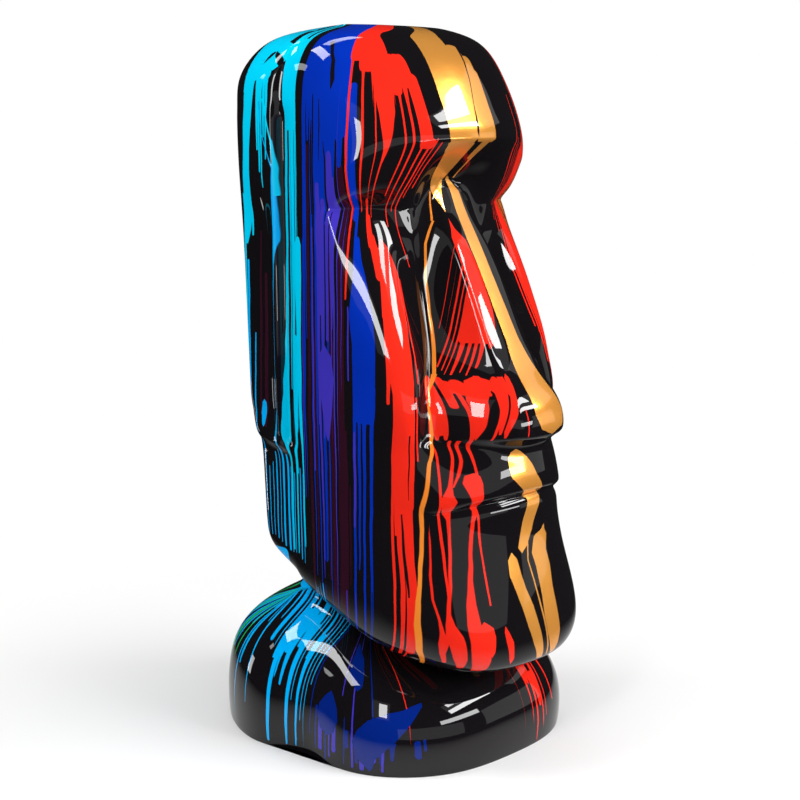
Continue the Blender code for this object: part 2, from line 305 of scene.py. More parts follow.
@dataclass(frozen=True)
class FlowMap:
    """Lays the figure's skin out flat along the way that poured paint runs, as a UV map.

    U is the way around in metres, from the middle of the face and positive on the statue's right side. V is
    the height in metres. The front is flat, and the corners turn round two centres, given as (across,
    forward). The sides of the nose have a stretch of their own, at nose_offset less the distance forward.

    crown_middle: where the front half ends. crown_start, crown_full: the heights between which the crown's
    spread takes over, round crown_ring. brow_lean: how far paint wanders under the brow. brow_fall: the
    height where that starts, where it is full and where it ends. brow_reach: the ways around where it
    starts, is full, begins to fade and ends.
    """

    name: str = "flow"
    cheek_centre: tuple = (0.10, 0.04)
    cheek_radius: float = 0.13
    back_centre: tuple = (0.14, -0.10)
    back_radius: float = 0.07
    crown_middle: float = -0.03
    crown_start: float = 1.176
    crown_full: float = 1.193
    crown_ring: tuple = (0.17, 0.15)
    brow_lean: float = 0.026
    brow_fall: tuple = (1.015, 0.905, 0.80)
    brow_reach: tuple = (0.045, 0.09, 0.17, 0.24)
    nose_offset: float = 1.40

    @property
    def side_start(self) -> float:
        """The way around where the side of the head begins."""
        return self.cheek_centre[0] + self.cheek_radius * math.pi / 2

    @property
    def side_end(self) -> float:
        """The way around where the side of the head ends."""
        return self.side_start + self.cheek_centre[1] - self.back_centre[1]

    @property
    def middle_of_back(self) -> float:
        """The way around at the seam, down the middle of the back."""
        return self.side_end + self.back_radius * math.pi / 2 + self.back_centre[0]

    def around(self, across: np.ndarray, forward: np.ndarray) -> np.ndarray:
        """Gives the way around for places in plan.

        Args:
            across: distances from the middle plane, all positive.
            forward: distances towards the front.

        Returns:
            The way around, positive.
        """
        c1, c2 = self.cheek_centre, self.back_centre
        corner = c1[0] + self.cheek_radius * np.arctan2(across - c1[0], forward - c1[1])
        side = self.side_start + c1[1] - forward
        behind = self.side_end + self.back_radius * np.arctan2(c2[1] - forward, across - c2[0])
        back = self.middle_of_back - across
        front_half = np.where(across <= c1[0], across, np.where(forward > c1[1], corner, side))
        back_half = np.where(forward > c2[1], np.where(across > c2[0], side, back),
                             np.where(across > c2[0], behind, back))
        return np.where(forward >= self.crown_middle, front_half, back_half)

    def crown(self, across: np.ndarray, forward: np.ndarray) -> np.ndarray:
        """Gives the way around on the crown, where paint spreads outward from the middle."""
        reach = np.maximum(np.hypot(across, forward), 1e-5)
        return self.around(self.crown_ring[0] * across / reach, self.crown_ring[1] * forward / reach)

    def under_brow(self, around: np.ndarray, height: np.ndarray) -> np.ndarray:
        """Gives how far paint wanders outward as it runs in under the brow and out again.

        Args:
            around: the ways around, all positive.
            height: the heights.

        Returns:
            The distances outward.
        """
        highest, full, lowest = self.brow_fall
        start, wide, narrow, end = self.brow_reach
        fall = smooth(height, highest, full) * smooth(height, lowest, full)
        reach = smooth(around, start, wide) * smooth(around, end, narrow)
        return self.brow_lean * fall * reach

    def apply(self, mesh: bpy.types.Mesh, nose_side: np.ndarray) -> None:
        """Writes the UV map.

        Args:
            mesh: the finished mesh.
            nose_side: for each face, whether it is on a side of the nose.
        """
        places = np.empty(len(mesh.vertices) * 3)
        mesh.vertices.foreach_get("co", places)
        places = places.reshape(-1, 3)
        corners = np.empty(len(mesh.loops), dtype=np.int32)
        mesh.loops.foreach_get("vertex_index", corners)
        centres = np.empty(len(mesh.polygons) * 3)
        mesh.polygons.foreach_get("center", centres)
        counts = np.empty(len(mesh.polygons), dtype=np.int32)
        mesh.polygons.foreach_get("loop_total", counts)
        face_of = np.repeat(np.arange(len(counts)), counts)
        side = -np.sign(centres.reshape(-1, 3)[face_of, 0])
        at = places[corners]
        across, forward, height = np.abs(at[:, 0]), -at[:, 1], at[:, 2]
        way = self.around(across, forward)
        crown = smooth(height, self.crown_start, self.crown_full)
        way = way * (1 - crown) + self.crown(across, forward) * crown
        way = side * (way - self.under_brow(way, height))
        way = np.where(nose_side[face_of], self.nose_offset - forward, way)
        layer = mesh.uv_layers.new(name=self.name)
        layer.data.foreach_set("uv", np.column_stack((way, height)).ravel())


def smooth(value: np.ndarray, start: float, end: float) -> np.ndarray:
    """Gives a smooth step of a value from 0 at start to 1 at end."""
    share = np.clip((value - start) / (end - start), 0, 1)
    return share * share * (3 - 2 * share)


@dataclass
class MoaiFigure:
    """The whole moulded figure, as a half cage that is mirrored and subdivided.

    nose_columns, nose_heights: the faces that make the side of the nose. neck_joins: loops between the
    neck and the jaw, as (share of the way, lift). cap_rows: vertices across each stripe of a cap.
    crown_lift: how far the crown's cap is raised. Heights and lifts are in thousandths of the height.
    """

    base: ShoulderBase = field(default_factory=ShoulderBase)
    head: CarvedHead = field(default_factory=CarvedHead)
    flow: FlowMap = field(default_factory=FlowMap)
    subdivisions: int = 3
    nose_columns: tuple = (1, 3)
    nose_heights: tuple = (543, 742)
    neck_joins: tuple = ((0.45, 6), (0.86, 2))
    cap_rows: int = 3
    crown_lift: float = 2.4

    def loops(self) -> list:
        """Lays out every loop of the half cage, from the floor to the crown.

        Returns:
            Lists of (across, forward, up), in thousandths of the height.
        """
        loops = self.base.loops()
        head = self.head.loops()
        neck = loops[-1]
        for share, lift in self.neck_joins:
            loop = []
            for start, end in zip(neck, head[0]):
                x, forward, up = (blend(a, b, share) for a, b in zip(start, end))
                loop.append((x, forward, up + lift))
            loops.append(loop)
        return loops + head

    def cap(self, bm: bmesh.types.BMesh, ring: list, lift: float) -> None:
        """Closes a loop with stripes, each from a front column to the back column that faces it.

        Args:
            bm: the mesh.
            ring: the loop's vertices.
            lift: how far the stripes' vertices are raised, in thousandths of the height.
        """
        last = COLUMNS - 1
        lines = []
        for column in range(COLUMNS // 2 - 1):
            start = ring[column]
            end = ring[last - column]
            line = [start]
            for row in range(1, self.cap_rows + 1):
                spot = start.co.lerp(end.co, row / (self.cap_rows + 1))
                spot.z += lift * UNIT
                line.append(bm.verts.new(spot))
            lines.append(line + [end])
        for one, other in zip(lines, lines[1:]):
            for row in range(self.cap_rows + 1):
                bm.faces.new((one[row], one[row + 1], other[row + 1], other[row]))
        bm.faces.new(lines[-1] + [ring[last // 2 + 1], ring[last // 2]])

    def cage(self) -> bpy.types.Mesh:
        """Builds the half cage, open along the plane of symmetry.

        Returns:
            The cage, whose second material index marks the sides of the nose.
        """
        bm = bmesh.new()
        creases = bm.edges.layers.float.new("crease_edge")
        rings = []
        for loop in self.loops():
            rings.append([bm.verts.new((x * UNIT, -forward * UNIT, up * UNIT)) for x, forward, up in loop])
        head = dict(zip([row.height for row in HEAD_LOOPS], rings[len(rings) - len(HEAD_LOOPS):]))
        for lower, upper in zip(rings, rings[1:]):
            on_nose = any(lower is head[height] for height in head
                          if self.nose_heights[0] <= height < self.nose_heights[1])
            for column in range(COLUMNS - 1):
                face = bm.faces.new((lower[column], lower[column + 1], upper[column + 1], upper[column]))
                face.material_index = int(on_nose and self.nose_columns[0] <= column < self.nose_columns[1])
        self.cap(bm, rings[0], 0)
        self.cap(bm, rings[-1], self.crown_lift)
        for column in range(COLUMNS - 1):
            bm.edges.get((rings[0][column], rings[0][column + 1]))[creases] = 1.0
        for height, first, last, strength in CREASES:
            for column in range(first, last):
                bm.edges.get((head[height][column], head[height][column + 1]))[creases] = strength
        heights = list(head)
        for column, lowest, highest, strength in RIDGES:
            for low, high in zip(heights, heights[1:]):
                if low >= lowest and high <= highest:
                    bm.edges.get((head[low][column], head[high][column]))[creases] = strength
        bmesh.ops.recalc_face_normals(bm, faces=bm.faces)
        mesh = bpy.data.meshes.new("half_cage")
        bm.to_mesh(mesh)
        bm.free()
        return mesh

    def build(self) -> bpy.types.Object:
        """Builds the finished figure.

        Returns:
            The figure's object, with the flow map on its mesh.
        """
        cage = bpy.data.objects.new("half_cage", self.cage())
        bpy.context.scene.collection.objects.link(cage)
        # Two empty slots, so that the modifiers keep the marks of the nose's sides
        for _ in range(2):
            cage.data.materials.append(None)
        mirror = cage.modifiers.new("mirror", "MIRROR")
        mirror.merge_threshold = 0.0001
        mirror.use_clip = True
        subdivision = cage.modifiers.new("subdivision", "SUBSURF")
        subdivision.levels = self.subdivisions
        subdivision.render_levels = self.subdivisions
        graph = bpy.context.evaluated_depsgraph_get()
        mesh = bpy.data.meshes.new_from_object(cage.evaluated_get(graph))
        mesh.name = "poured_moai"
        bpy.data.objects.remove(cage)
        marks = np.empty(len(mesh.polygons), dtype=np.int32)
        mesh.polygons.foreach_get("material_index", marks)
        mesh.polygons.foreach_set("material_index", np.zeros_like(marks))
        mesh.materials.clear()
        mesh.polygons.foreach_set("use_smooth", np.ones(len(marks), dtype=bool))
        self.flow.apply(mesh, marks == 1)
        figure = bpy.data.objects.new("poured_moai", mesh)
        bpy.context.scene.collection.objects.link(figure)
        return figure


@dataclass(frozen=True)
class Enamel:
    """One paint: two tones that it wanders between, how metallic it is, and how rough."""

    tone: tuple
    second: tuple
    metallic: float = 0.0
    roughness: float = 0.07


class Paint(Enum):
    """The paints that are poured over the figure."""

    CYAN = Enamel((0.0, 0.72, 1.0), (0.0, 0.60, 0.95))
    SKY = Enamel((0.0, 0.40, 1.0), (0.0, 0.52, 1.0))
    BLUE = Enamel((0.0, 0.022, 0.36), (0.002, 0.035, 0.50))
    NAVY = Enamel((0.0, 0.014, 0.17), (0.002, 0.018, 0.22))
    VIOLET = Enamel((0.035, 0.030, 0.42), (0.06, 0.035, 0.48))
    PLUM = Enamel((0.040, 0.006, 0.018), (0.022, 0.004, 0.012))
    RED = Enamel((0.95, 0.030, 0.012), (0.82, 0.018, 0.010))
    GOLD = Enamel((1.0, 0.46, 0.09), (0.92, 0.36, 0.06), metallic=0.55, roughness=0.26)
    ORANGE = Enamel((0.90, 0.21, 0.02), (0.95, 0.32, 0.04), metallic=0.1, roughness=0.14)
    GREEN = Enamel((0.0, 0.50, 0.10), (0.02, 0.62, 0.16))
    BLACK = Enamel((0.006, 0.005, 0.006), (0.008, 0.006, 0.007))


# Heights past the figure, which an outline takes where there is no paint, in millimetres
ABOVE_ALL = 1400
BELOW_ALL = -100


@dataclass(frozen=True)
class Run:
    """One run of paint, in millimetres.

    at: the way around of its middle. width: how wide it is. tip: the height it has run down to. top: the
    height it starts from. flare: how much wider each side is at the top. shoulder: the height that the
    flare runs down to.

    TIP_BEND, TOP_BEND: the widest rounding of its tip and of its top. TIP_LONG, TOP_LONG: how much longer
    each is than a half circle. FLARE_TOP: the highest that a flare is drawn. FLARE_CURVE: how hollow it is.
    """

    TIP_BEND: ClassVar[float] = 7.0
    TIP_LONG: ClassVar[float] = 1.7
    TOP_BEND: ClassVar[float] = 9.0
    TOP_LONG: ClassVar[float] = 1.3
    FLARE_TOP: ClassVar[float] = 1190
    FLARE_CURVE: ClassVar[float] = 0.7

    at: float
    width: float
    tip: float
    top: float = 1300
    flare: float = 0
    shoulder: float = 0

    def lower(self, around: np.ndarray) -> np.ndarray:
        """Draws the lower outline.

        Args:
            around: the ways around to draw it at.

        Returns:
            The heights there, or ABOVE_ALL beside the run.
        """
        away = np.abs(around - self.at)
        half = self.width / 2
        outline = self.tip + self.TIP_LONG * self.rounding(away, half, self.TIP_BEND)
        if self.flare:
            share = np.clip((away - half) / self.flare, 0, 1)
            rise = min(self.top, self.FLARE_TOP) - self.shoulder
            outline = np.where(away <= half, outline, self.shoulder + rise * share ** self.FLARE_CURVE)
        return np.where(away <= half + self.flare, outline, ABOVE_ALL)

    def upper(self, around: np.ndarray) -> np.ndarray:
        """Draws the upper outline.

        Args:
            around: the ways around to draw it at.

        Returns:
            The heights there, or BELOW_ALL beside the run.
        """
        away = np.abs(around - self.at)
        half = self.width / 2 + self.flare
        outline = self.top - self.TOP_LONG * self.rounding(away, half, self.TOP_BEND)
        return np.where(away <= half, outline, BELOW_ALL)

    @staticmethod
    def rounding(away: np.ndarray, half: float, widest: float) -> np.ndarray:
        """Gives how far a rounded end falls back from its tip.

        Args:
            away: distances from the middle of the run.
            half: half the run's width.
            widest: the widest rounding.

        Returns:
            The distances, from 0 at the tip to the rounding's own size at the edge.
        """
        bend = min(half, widest)
        turn = np.clip(away - (half - bend), 0, bend)
        return bend - np.sqrt(bend * bend - turn * turn)


@dataclass(frozen=True)
class Pour:
    """One pour of paint: the runs of one colour that fall together over one stretch of the figure.

    start, span: the stretch of the way around that it covers, in millimetres.
    """

    paint: Paint
    start: float
    span: float
    runs: tuple


@dataclass(frozen=True)
class Strand:
    """One long strand of paint that wanders.

    knots: its course from the foot up, as (height, way around, width), in millimetres.
    """

    paint: Paint
    knots: tuple


# What a fringe's runs are drawn between: the share of its step where a run stands, then its flare and how
# far its shoulder hangs below the root, in millimetres
FRINGE_PLACES = (0.2, 0.8)
FRINGE_FLARES = (1.0, 3.0)
FRINGE_DROPS = (0, 40)


def fringe(seed: int, start: float, end: float, count: int, root: float, reach: tuple, widths: tuple,
           top: float = 1300) -> tuple:
    """Draws a row of seeded runs that hang from one body of paint.

    Args:
        seed: the seed of the draw.
        start: the way around where the row begins, in millimetres.
        end: the way around where it ends.
        count: how many runs.
        root: the height that the runs hang from.
        reach: the highest and lowest tip.
        widths: the narrowest and widest run.
        top: the height that the runs start from.

    Returns:
        The runs.
    """
    draw = np.random.default_rng(seed)
    step = (end - start) / count
    runs = []
    for index in range(count):
        at = start + (index + draw.uniform(*FRINGE_PLACES)) * step
        width = blend(widths[0], widths[1], draw.random() ** 2)
        tip = blend(reach[0], reach[1], draw.random())
        flare = draw.uniform(*FRINGE_FLARES)
        shoulder = root - draw.uniform(*FRINGE_DROPS)
        runs.append(Run(at, width, tip, top, flare, shoulder))
    return tuple(runs)


class Pours:
    """Every pour and strand on the figure, from the first that was poured to the last."""

    NEAR_SIDE = (
        Pour(Paint.PLUM, 190, 320, (
            Run(326, 8, 180, 1010), Run(306, 9, 620, 840), Run(297, 8, 660, 735), Run(262, 5, 430, 820),
            Run(248, 15, 250, 980), Run(240, 10, 210, 560), Run(434, 6, 560, 870), Run(425, 8, 540, 800),
            Run(268, 12, 230, 700), Run(281, 7, 300, 520), Run(313, 6, 340, 700), Run(231, 5, 300, 470),
        )),
        Pour(Paint.BLUE, 190, 320, (
            Run(323, 12, 1085), Run(325, 6, 1015), Run(291, 56, 1088), Run(272, 62, 1050),
            Run(262, 44, 1018), Run(332, 4, 700, flare=3, shoulder=1010),
            Run(319, 3, 860, flare=1, shoulder=1050), Run(309, 5, 720, flare=3, shoulder=1040),
            Run(299, 4, 905, flare=2, shoulder=1030), Run(287, 3, 880, flare=2, shoulder=1025),
            Run(272, 24, 950, flare=3, shoulder=1000), Run(250, 10, 975, flare=3, shoulder=1005),
            Run(229, 20, 968, 1105), Run(338, 6, 560, 860), Run(293, 14, 330, 640, flare=3, shoulder=560),
            Run(336, 3, 420, 560), Run(318, 3, 300, 600), Run(278, 4, 220, 560), Run(307, 4, 250, 560),
            Run(228, 14, 890, 905), Run(222, 5, 195, 640), Run(214, 3, 330, 600, flare=1, shoulder=560),
            Run(206, 4, 205, 600, flare=2, shoulder=560), Run(196, 4, 190, 600, flare=2, shoulder=565),
            Run(205, 26, 585, 640, flare=3, shoulder=612),
        )),
        Pour(Paint.VIOLET, 190, 320, (
            Run(273, 13, 905, 1000), Run(264, 8, 880, 960), Run(303, 11, 850, 950), Run(296, 6, 700, 870),
            Run(290, 11, 760, 925), Run(279, 9, 700, 890), Run(268, 6, 720, 850), Run(316, 4, 480, 880),
            Run(290, 5, 540, 760), Run(262, 4, 500, 760), Run(255, 3, 470, 1110), Run(246, 2.5, 610, 940),
            Run(232, 4, 640, 760), Run(303, 3, 560, 760), Run(222, 6, 400, 560), Run(262, 3, 210, 600),
            Run(342, 3, 430, 760), Run(270, 3, 380, 600), Run(299, 3, 300, 560),
        )),
        Pour(Paint.CYAN, 335, 135, (
            Run(419, 52, 1110), Run(447, 7, 1090), Run(414, 16, 1086, flare=2, shoulder=1098),
            Run(456, 4, 560, 930), Run(446, 3.5, 860, 920), Run(419, 4, 1000, flare=2, shoulder=1080),
            Run(403, 4, 1020, flare=2, shoulder=1085), Run(414, 4, 965, 1010), Run(409, 3.5, 940, 980),
            Run(398, 4, 985, 1030), Run(366, 25, 1032, 1176), Run(376, 4, 335, flare=2, shoulder=1022),
            Run(368, 2.5, 610, flare=1, shoulder=1030), Run(356, 3, 855, flare=2, shoulder=1036),
            Run(350, 6, 560, 700), Run(361, 4, 470, 600), Run(347, 3, 345, 700), Run(364, 3, 330, 560),
        )),
        Pour(Paint.SKY, 335, 135, (
            Run(396, 7, 535, 790), Run(398, 5, 335, 620), Run(443, 3, 350, 700), Run(434, 3, 350, 470),
            Run(425, 3, 350, 480), Run(416, 4, 345, 500), Run(407, 3, 340, 505), Run(386, 5, 330, 500),
            Run(379, 3, 330, 480), Run(371, 2.5, 330, 470), Run(356, 3, 320, 480),
            Run(349, 2.5, 315, 470), Run(452, 4, 520, 820),
        )),
    )

    FRONT = (
        Pour(Paint.RED, 135, 115, (
            Run(224, 42, 1138), Run(195, 52, 1122), Run(168, 42, 1104, flare=7, shoulder=1050),
            Run(237, 4, 770, flare=6, shoulder=1112), Run(210, 4, 905, flare=8, shoulder=1092),
            Run(186, 2.5, 925, 1000),
        )),
        Pour(Paint.RED, 60, 95, (
            Run(139, 20, 1084, 1149), Run(122, 34, 1096, 1149),
            Run(137, 3, 930, 1120, flare=5, shoulder=1062),
            Run(124, 3.5, 880, 1120, flare=5, shoulder=1058),
            Run(108, 14, 1003, 1120, flare=4, shoulder=1050), Run(99, 20, 1003, 1020),
            Run(109, 3, 905, 1020), Run(97, 3, 815, 1020), Run(89, 2.5, 925, 1020), Run(79, 3, 940, 1013),
        )),
        Pour(Paint.RED, 100, 110, (
            Run(189, 6, 850, 925, flare=2, shoulder=905), Run(182, 12, 800, 900), Run(176, 10, 740, 870),
            Run(170, 10, 640, 850), Run(161, 13, 505, 640), Run(150, 4, 440, 640, flare=1, shoulder=600),
            Run(160, 8, 460, 540, flare=2, shoulder=510), Run(159, 17, 436, 458), Run(166, 4, 396, 450),
            Run(155, 8, 205, 445, flare=2, shoulder=432), Run(162, 4, 200, 350, flare=1, shoulder=330),
            Run(170, 3, 198, 410), Run(151, 3, 300, 345), Run(163, 3, 480, 620), Run(177, 4, 610, 760),
            Run(140, 3, 640, 800), Run(145, 2.5, 520, 620), Run(167, 3, 535, 640),
        )),
        Pour(Paint.RED, 25, 110, (
            Run(118.5, 17, 556, 649), Run(102, 13, 622, 640), Run(105, 6, 600, 646), Run(38, 3, 558, 602),
            Run(93, 13, 620, 643), Run(82, 9, 626, 634), Run(71, 7, 620, 650), Run(61, 12, 622, 639),
            Run(50, 7, 620, 651), Run(98, 3, 290, 316), Run(112, 3, 549, 560), Run(119, 4, 549, 560),
            Run(126, 2.5, 300, 430),
        )),
        Pour(Paint.RED, 1060, 240, (
            Run(1164, 52, 698), Run(1150, 5, 660, 720), Run(1159, 4, 648, 720), Run(1169, 4, 652, 720),
            Run(1180, 5, 646, 720), Run(1196, 3, 655, 850), Run(1204, 4, 660, 830),
            Run(1212, 2.5, 690, 840), Run(1190, 3, 640, 720), Run(1222, 3, 720, 850),
        )),
        Pour(Paint.GOLD, -60, 150, (
            Run(41, 56, 1014), Run(2, 26, 1014, 1166), Run(-8, 34, 1014, 1150), Run(-14, 34, 1014, 1128),
            Run(9, 10, 1060, 1166), Run(40, 48, 996), Run(-8, 12, 985, 1040, flare=4, shoulder=1008),
            Run(-14, 4, 955, 1010, flare=3, shoulder=990),
        )),
        Pour(Paint.RED, -220, 130, (
            Run(-112, 3.5, 905, 1090), Run(-124, 3, 880, 1020), Run(-134, 3, 860, 1010),
            Run(-145, 3, 700, 1000), Run(-163, 18, 600, 862), Run(-152, 6, 760, 880),
            Run(-157, 8, 560, 700), Run(-150, 3, 640, 720),
        )),
    )

    STRANDS = (
        Strand(Paint.GOLD, ((900, 27, 0), (915, 28, 9), (935, 29, 24), (955, 25, 40), (975, 29, 44),
                            (1000, 36, 50), (1012, 40, 54))),
        Strand(Paint.GOLD, ((556, -18, 0), (566, -18, 56), (590, -16, 74), (640, -10, 56), (700, -10, 34),
                            (800, -7, 28), (855, -6, 27), (933, -12, 22), (948, -6, 12), (957, 0, 5))),
        Strand(Paint.ORANGE, ((186, 141, 3), (214, 149, 5.5), (258, 151, 5.5), (298, 150, 4.5),
                              (337, 146, 4), (376, 143, 4), (408, 141, 4.5), (445, 141, 5),
                              (478, 137, 4.5), (517, 134, 4.5), (554, 124, 5), (573, 124, 4),
                              (601, 125, 3.5), (626, 117, 3.5), (650, 105, 6), (675, 89, 8), (708, 78, 7),
                              (746, 71, 6), (785, 64, 5), (817, 60, 3), (853, 56, 2.5), (890, 48, 2.5),
                              (935, 42, 3))),
        Strand(Paint.ORANGE, ((640, 1200, 6), (690, 1220, 6), (740, 1240, 5), (796, 1256, 4),
                              (852, 1264, 3.5), (900, 1262, 3.5))),
        Strand(Paint.RED, ((895, 172, 3), (980, 171, 4), (1002, 169, 9), (1026, 167, 18), (1058, 165, 30),
                           (1090, 167, 41), (1140, 168, 46))),
        Strand(Paint.CYAN, ((845, 453, 3), (870, 452, 8), (920, 450, 13), (1000, 445, 14),
                            (1060, 441, 18), (1115, 437, 24))),
        Strand(Paint.RED, ((690, 46, 0), (705, 42, 34), (750, 31, 42), (800, 25, 36), (857, 26, 30),
                           (875, 28, 9), (893, 27, 0))),
        Strand(Paint.RED, ((550, 95, 0), (557, 95, 4), (575, 92, 10), (613, 86, 19), (634, 76, 27),
                           (643, 73, 24), (649, 72, 0))),
        Strand(Paint.RED, ((553, 81, 3), (570, 77, 4), (600, 68, 4), (640, 60, 5))),
        Strand(Paint.RED, ((562, 74, 3), (575, 72, 6), (600, 65, 7), (632, 57, 12), (643, 56, 11),
                           (650, 56, 0))),
        Strand(Paint.RED, ((556, 68, 3), (567, 67, 6), (600, 56, 9), (636, 43, 10), (648, 41, 9),
                           (654, 40, 0))),
        Strand(Paint.RED, ((182, 106, 10), (200, 107, 14), (222, 109, 14), (245, 111, 12), (262, 112, 10),
                           (293, 112, 7), (331, 110, 4), (393, 105, 3), (425, 103, 3), (440, 100, 5),
                           (452, 99, 11), (470, 100, 14), (485, 101, 17), (497, 101, 13), (502, 101, 0))),
        Strand(Paint.RED, ((188, 119, 4), (205, 121, 9), (244, 126, 12), (262, 128, 7), (278, 128, 3.5),
                           (321, 124, 3), (398, 120, 3), (425, 119, 3.5), (440, 120, 9), (455, 120, 13),
                           (466, 120, 8), (480, 118, 4), (497, 116, 3.5), (520, 113, 3), (549, 109, 3))),
        Strand(Paint.RED, ((478, 116, 2), (497, 111, 3), (520, 107, 3), (549, 104, 3))),
        Strand(Paint.RED, ((197, 130, 3), (215, 133, 5), (232, 133, 8), (250, 134, 4), (269, 135, 2.5),
                           (300, 138, 2.5), (338, 138, 2.5), (393, 135, 2), (420, 134, 0))),
        Strand(Paint.RED, ((205, 100, 0), (216, 101, 7), (240, 103, 14), (255, 104, 11), (266, 105, 0))),
        Strand(Paint.RED, ((188, 65, 0), (198, 66, 9), (228, 72, 13), (245, 77, 8), (256, 79, 0))),
        Strand(Paint.GOLD, ((362, 28, 0), (372, 25, 20), (397, 13, 27), (422, 4, 30), (448, -8, 32),
                            (466, 4, 46), (478, 14, 50), (491, 25, 52), (508, 30, 46), (520, 34, 36),
                            (530, 38, 18), (535, 39, 0))),
        Strand(Paint.GOLD, ((182, -4, 14), (214, 10, 22), (245, 21, 25), (277, 30, 25), (306, 40, 22),
                            (331, 47, 23), (356, 49, 18), (368, 49, 0))),
        Strand(Paint.GOLD, ((185, -20, 4), (239, -7, 4.5), (270, 0, 4), (308, 8, 3.5), (350, 17, 3),
                            (380, 12, 3))),
        Strand(Paint.GOLD, ((182, -36, 8), (198, -34, 22), (224, -30, 34), (256, -24, 37), (298, -20, 33),
                            (335, -18, 37), (360, -12, 37), (384, -20, 34), (392, -26, 14),
                            (402, -32, 0))),
        Strand(Paint.CYAN, ((505, 349, 0), (540, 350, 5), (640, 351, 7), (720, 351, 11), (800, 352, 17),
                            (850, 352, 17), (862, 352, 8), (864, 352, 0))),
        Strand(Paint.CYAN, ((538, 359, 0), (548, 359, 6), (600, 359, 11), (680, 358, 14), (698, 358, 8),
                            (702, 358, 0))),
        Strand(Paint.SKY, ((750, 392, 7), (761, 392, 7), (856, 385, 6), (920, 385, 5), (971, 386, 3),
                           (990, 393, 2.5), (1028, 409, 2.5), (1078, 414, 3))),
        Strand(Paint.CYAN, ((926, 383, 3), (971, 385, 3), (1015, 388, 3), (1056, 399, 4),
                            (1081, 405, 6))),
        Strand(Paint.CYAN, ((1124, 392, 0), (1131, 395, 18), (1144, 397, 40), (1158, 398, 44),
                            (1167, 395, 30), (1171, 392, 0))),
        Strand(Paint.BLACK, ((1130, 385, 0), (1136, 385, 9), (1143, 388, 13), (1149, 394, 15),
                             (1154, 400, 7), (1157, 403, 0))),
        Strand(Paint.BLACK, ((1134, 419, 0), (1141, 415, 5), (1148, 411, 10), (1153, 408, 9),
                             (1156, 405, 0))),
        Strand(Paint.BLACK, ((1018, 12, 0), (1030, 13, 5), (1043, 12, 6), (1056, 9, 3), (1072, 6, 2),
                             (1110, -3, 2.5), (1140, -8, 3.5), (1158, -9, 5), (1165, -9, 3))),
        Strand(Paint.BLACK, ((1095, 276, 2), (1111, 276, 10), (1139, 284, 9), (1167, 307, 8),
                             (1172, 309, 0))),
        Strand(Paint.BLACK, ((985, 299, 2), (1041, 298, 4), (1081, 300, 2))),
        Strand(Paint.BLACK, ((430, 284, 3), (560, 283, 5), (700, 284, 4), (885, 283, 3))),
        Strand(Paint.BLACK, ((300, 157, 2), (340, 158, 4), (400, 159, 3), (432, 160, 2))),
        Strand(Paint.PLUM, ((260, 272, 5), (480, 271, 7), (640, 272, 6), (842, 273, 4))),
        Strand(Paint.BLACK, ((280, 295, 3), (420, 294, 4), (640, 296, 4), (742, 297, 3))),
        Strand(Paint.BLACK, ((900, 317, 3), (1003, 318, 5), (1050, 317, 2))),
        Strand(Paint.BLACK, ((905, 281, 4), (985, 282, 5), (1016, 287, 2))),
        Strand(Paint.SKY, ((540, 429, 0), (546, 429, 6), (565, 429, 9), (582, 429, 6), (588, 429, 0))),
        Strand(Paint.VIOLET, ((535, 281, 0), (548, 281, 12), (590, 281, 28), (640, 283, 40),
                              (676, 285, 30), (694, 288, 0))),
        Strand(Paint.BLUE, ((575, 208, 28), (640, 208, 33), (700, 208, 34), (745, 212, 38),
                            (790, 214, 26), (830, 216, 12), (862, 217, 9), (868, 217, 0))),
        Strand(Paint.RED, ((560, 156, 12), (640, 160, 28), (700, 163, 34), (760, 160, 38), (810, 158, 34),
                           (850, 157, 22), (861, 157, 8), (863, 157, 0))),
        Strand(Paint.NAVY, ((8, 201, 0), (14, 201, 8), (30, 206, 22), (54, 199, 44), (75, 189, 52),
                            (92, 178, 50), (103, 162, 32), (112, 146, 14), (117, 139, 0))),
        Strand(Paint.NAVY, ((52, 262, 0), (60, 262, 28), (80, 263, 40), (100, 264, 36), (115, 262, 16),
                            (122, 260, 0))),
        Strand(Paint.NAVY, ((128, 217, 0), (135, 217, 14), (150, 222, 28), (165, 224, 26), (179, 230, 10),
                            (184, 233, 0))),
    )

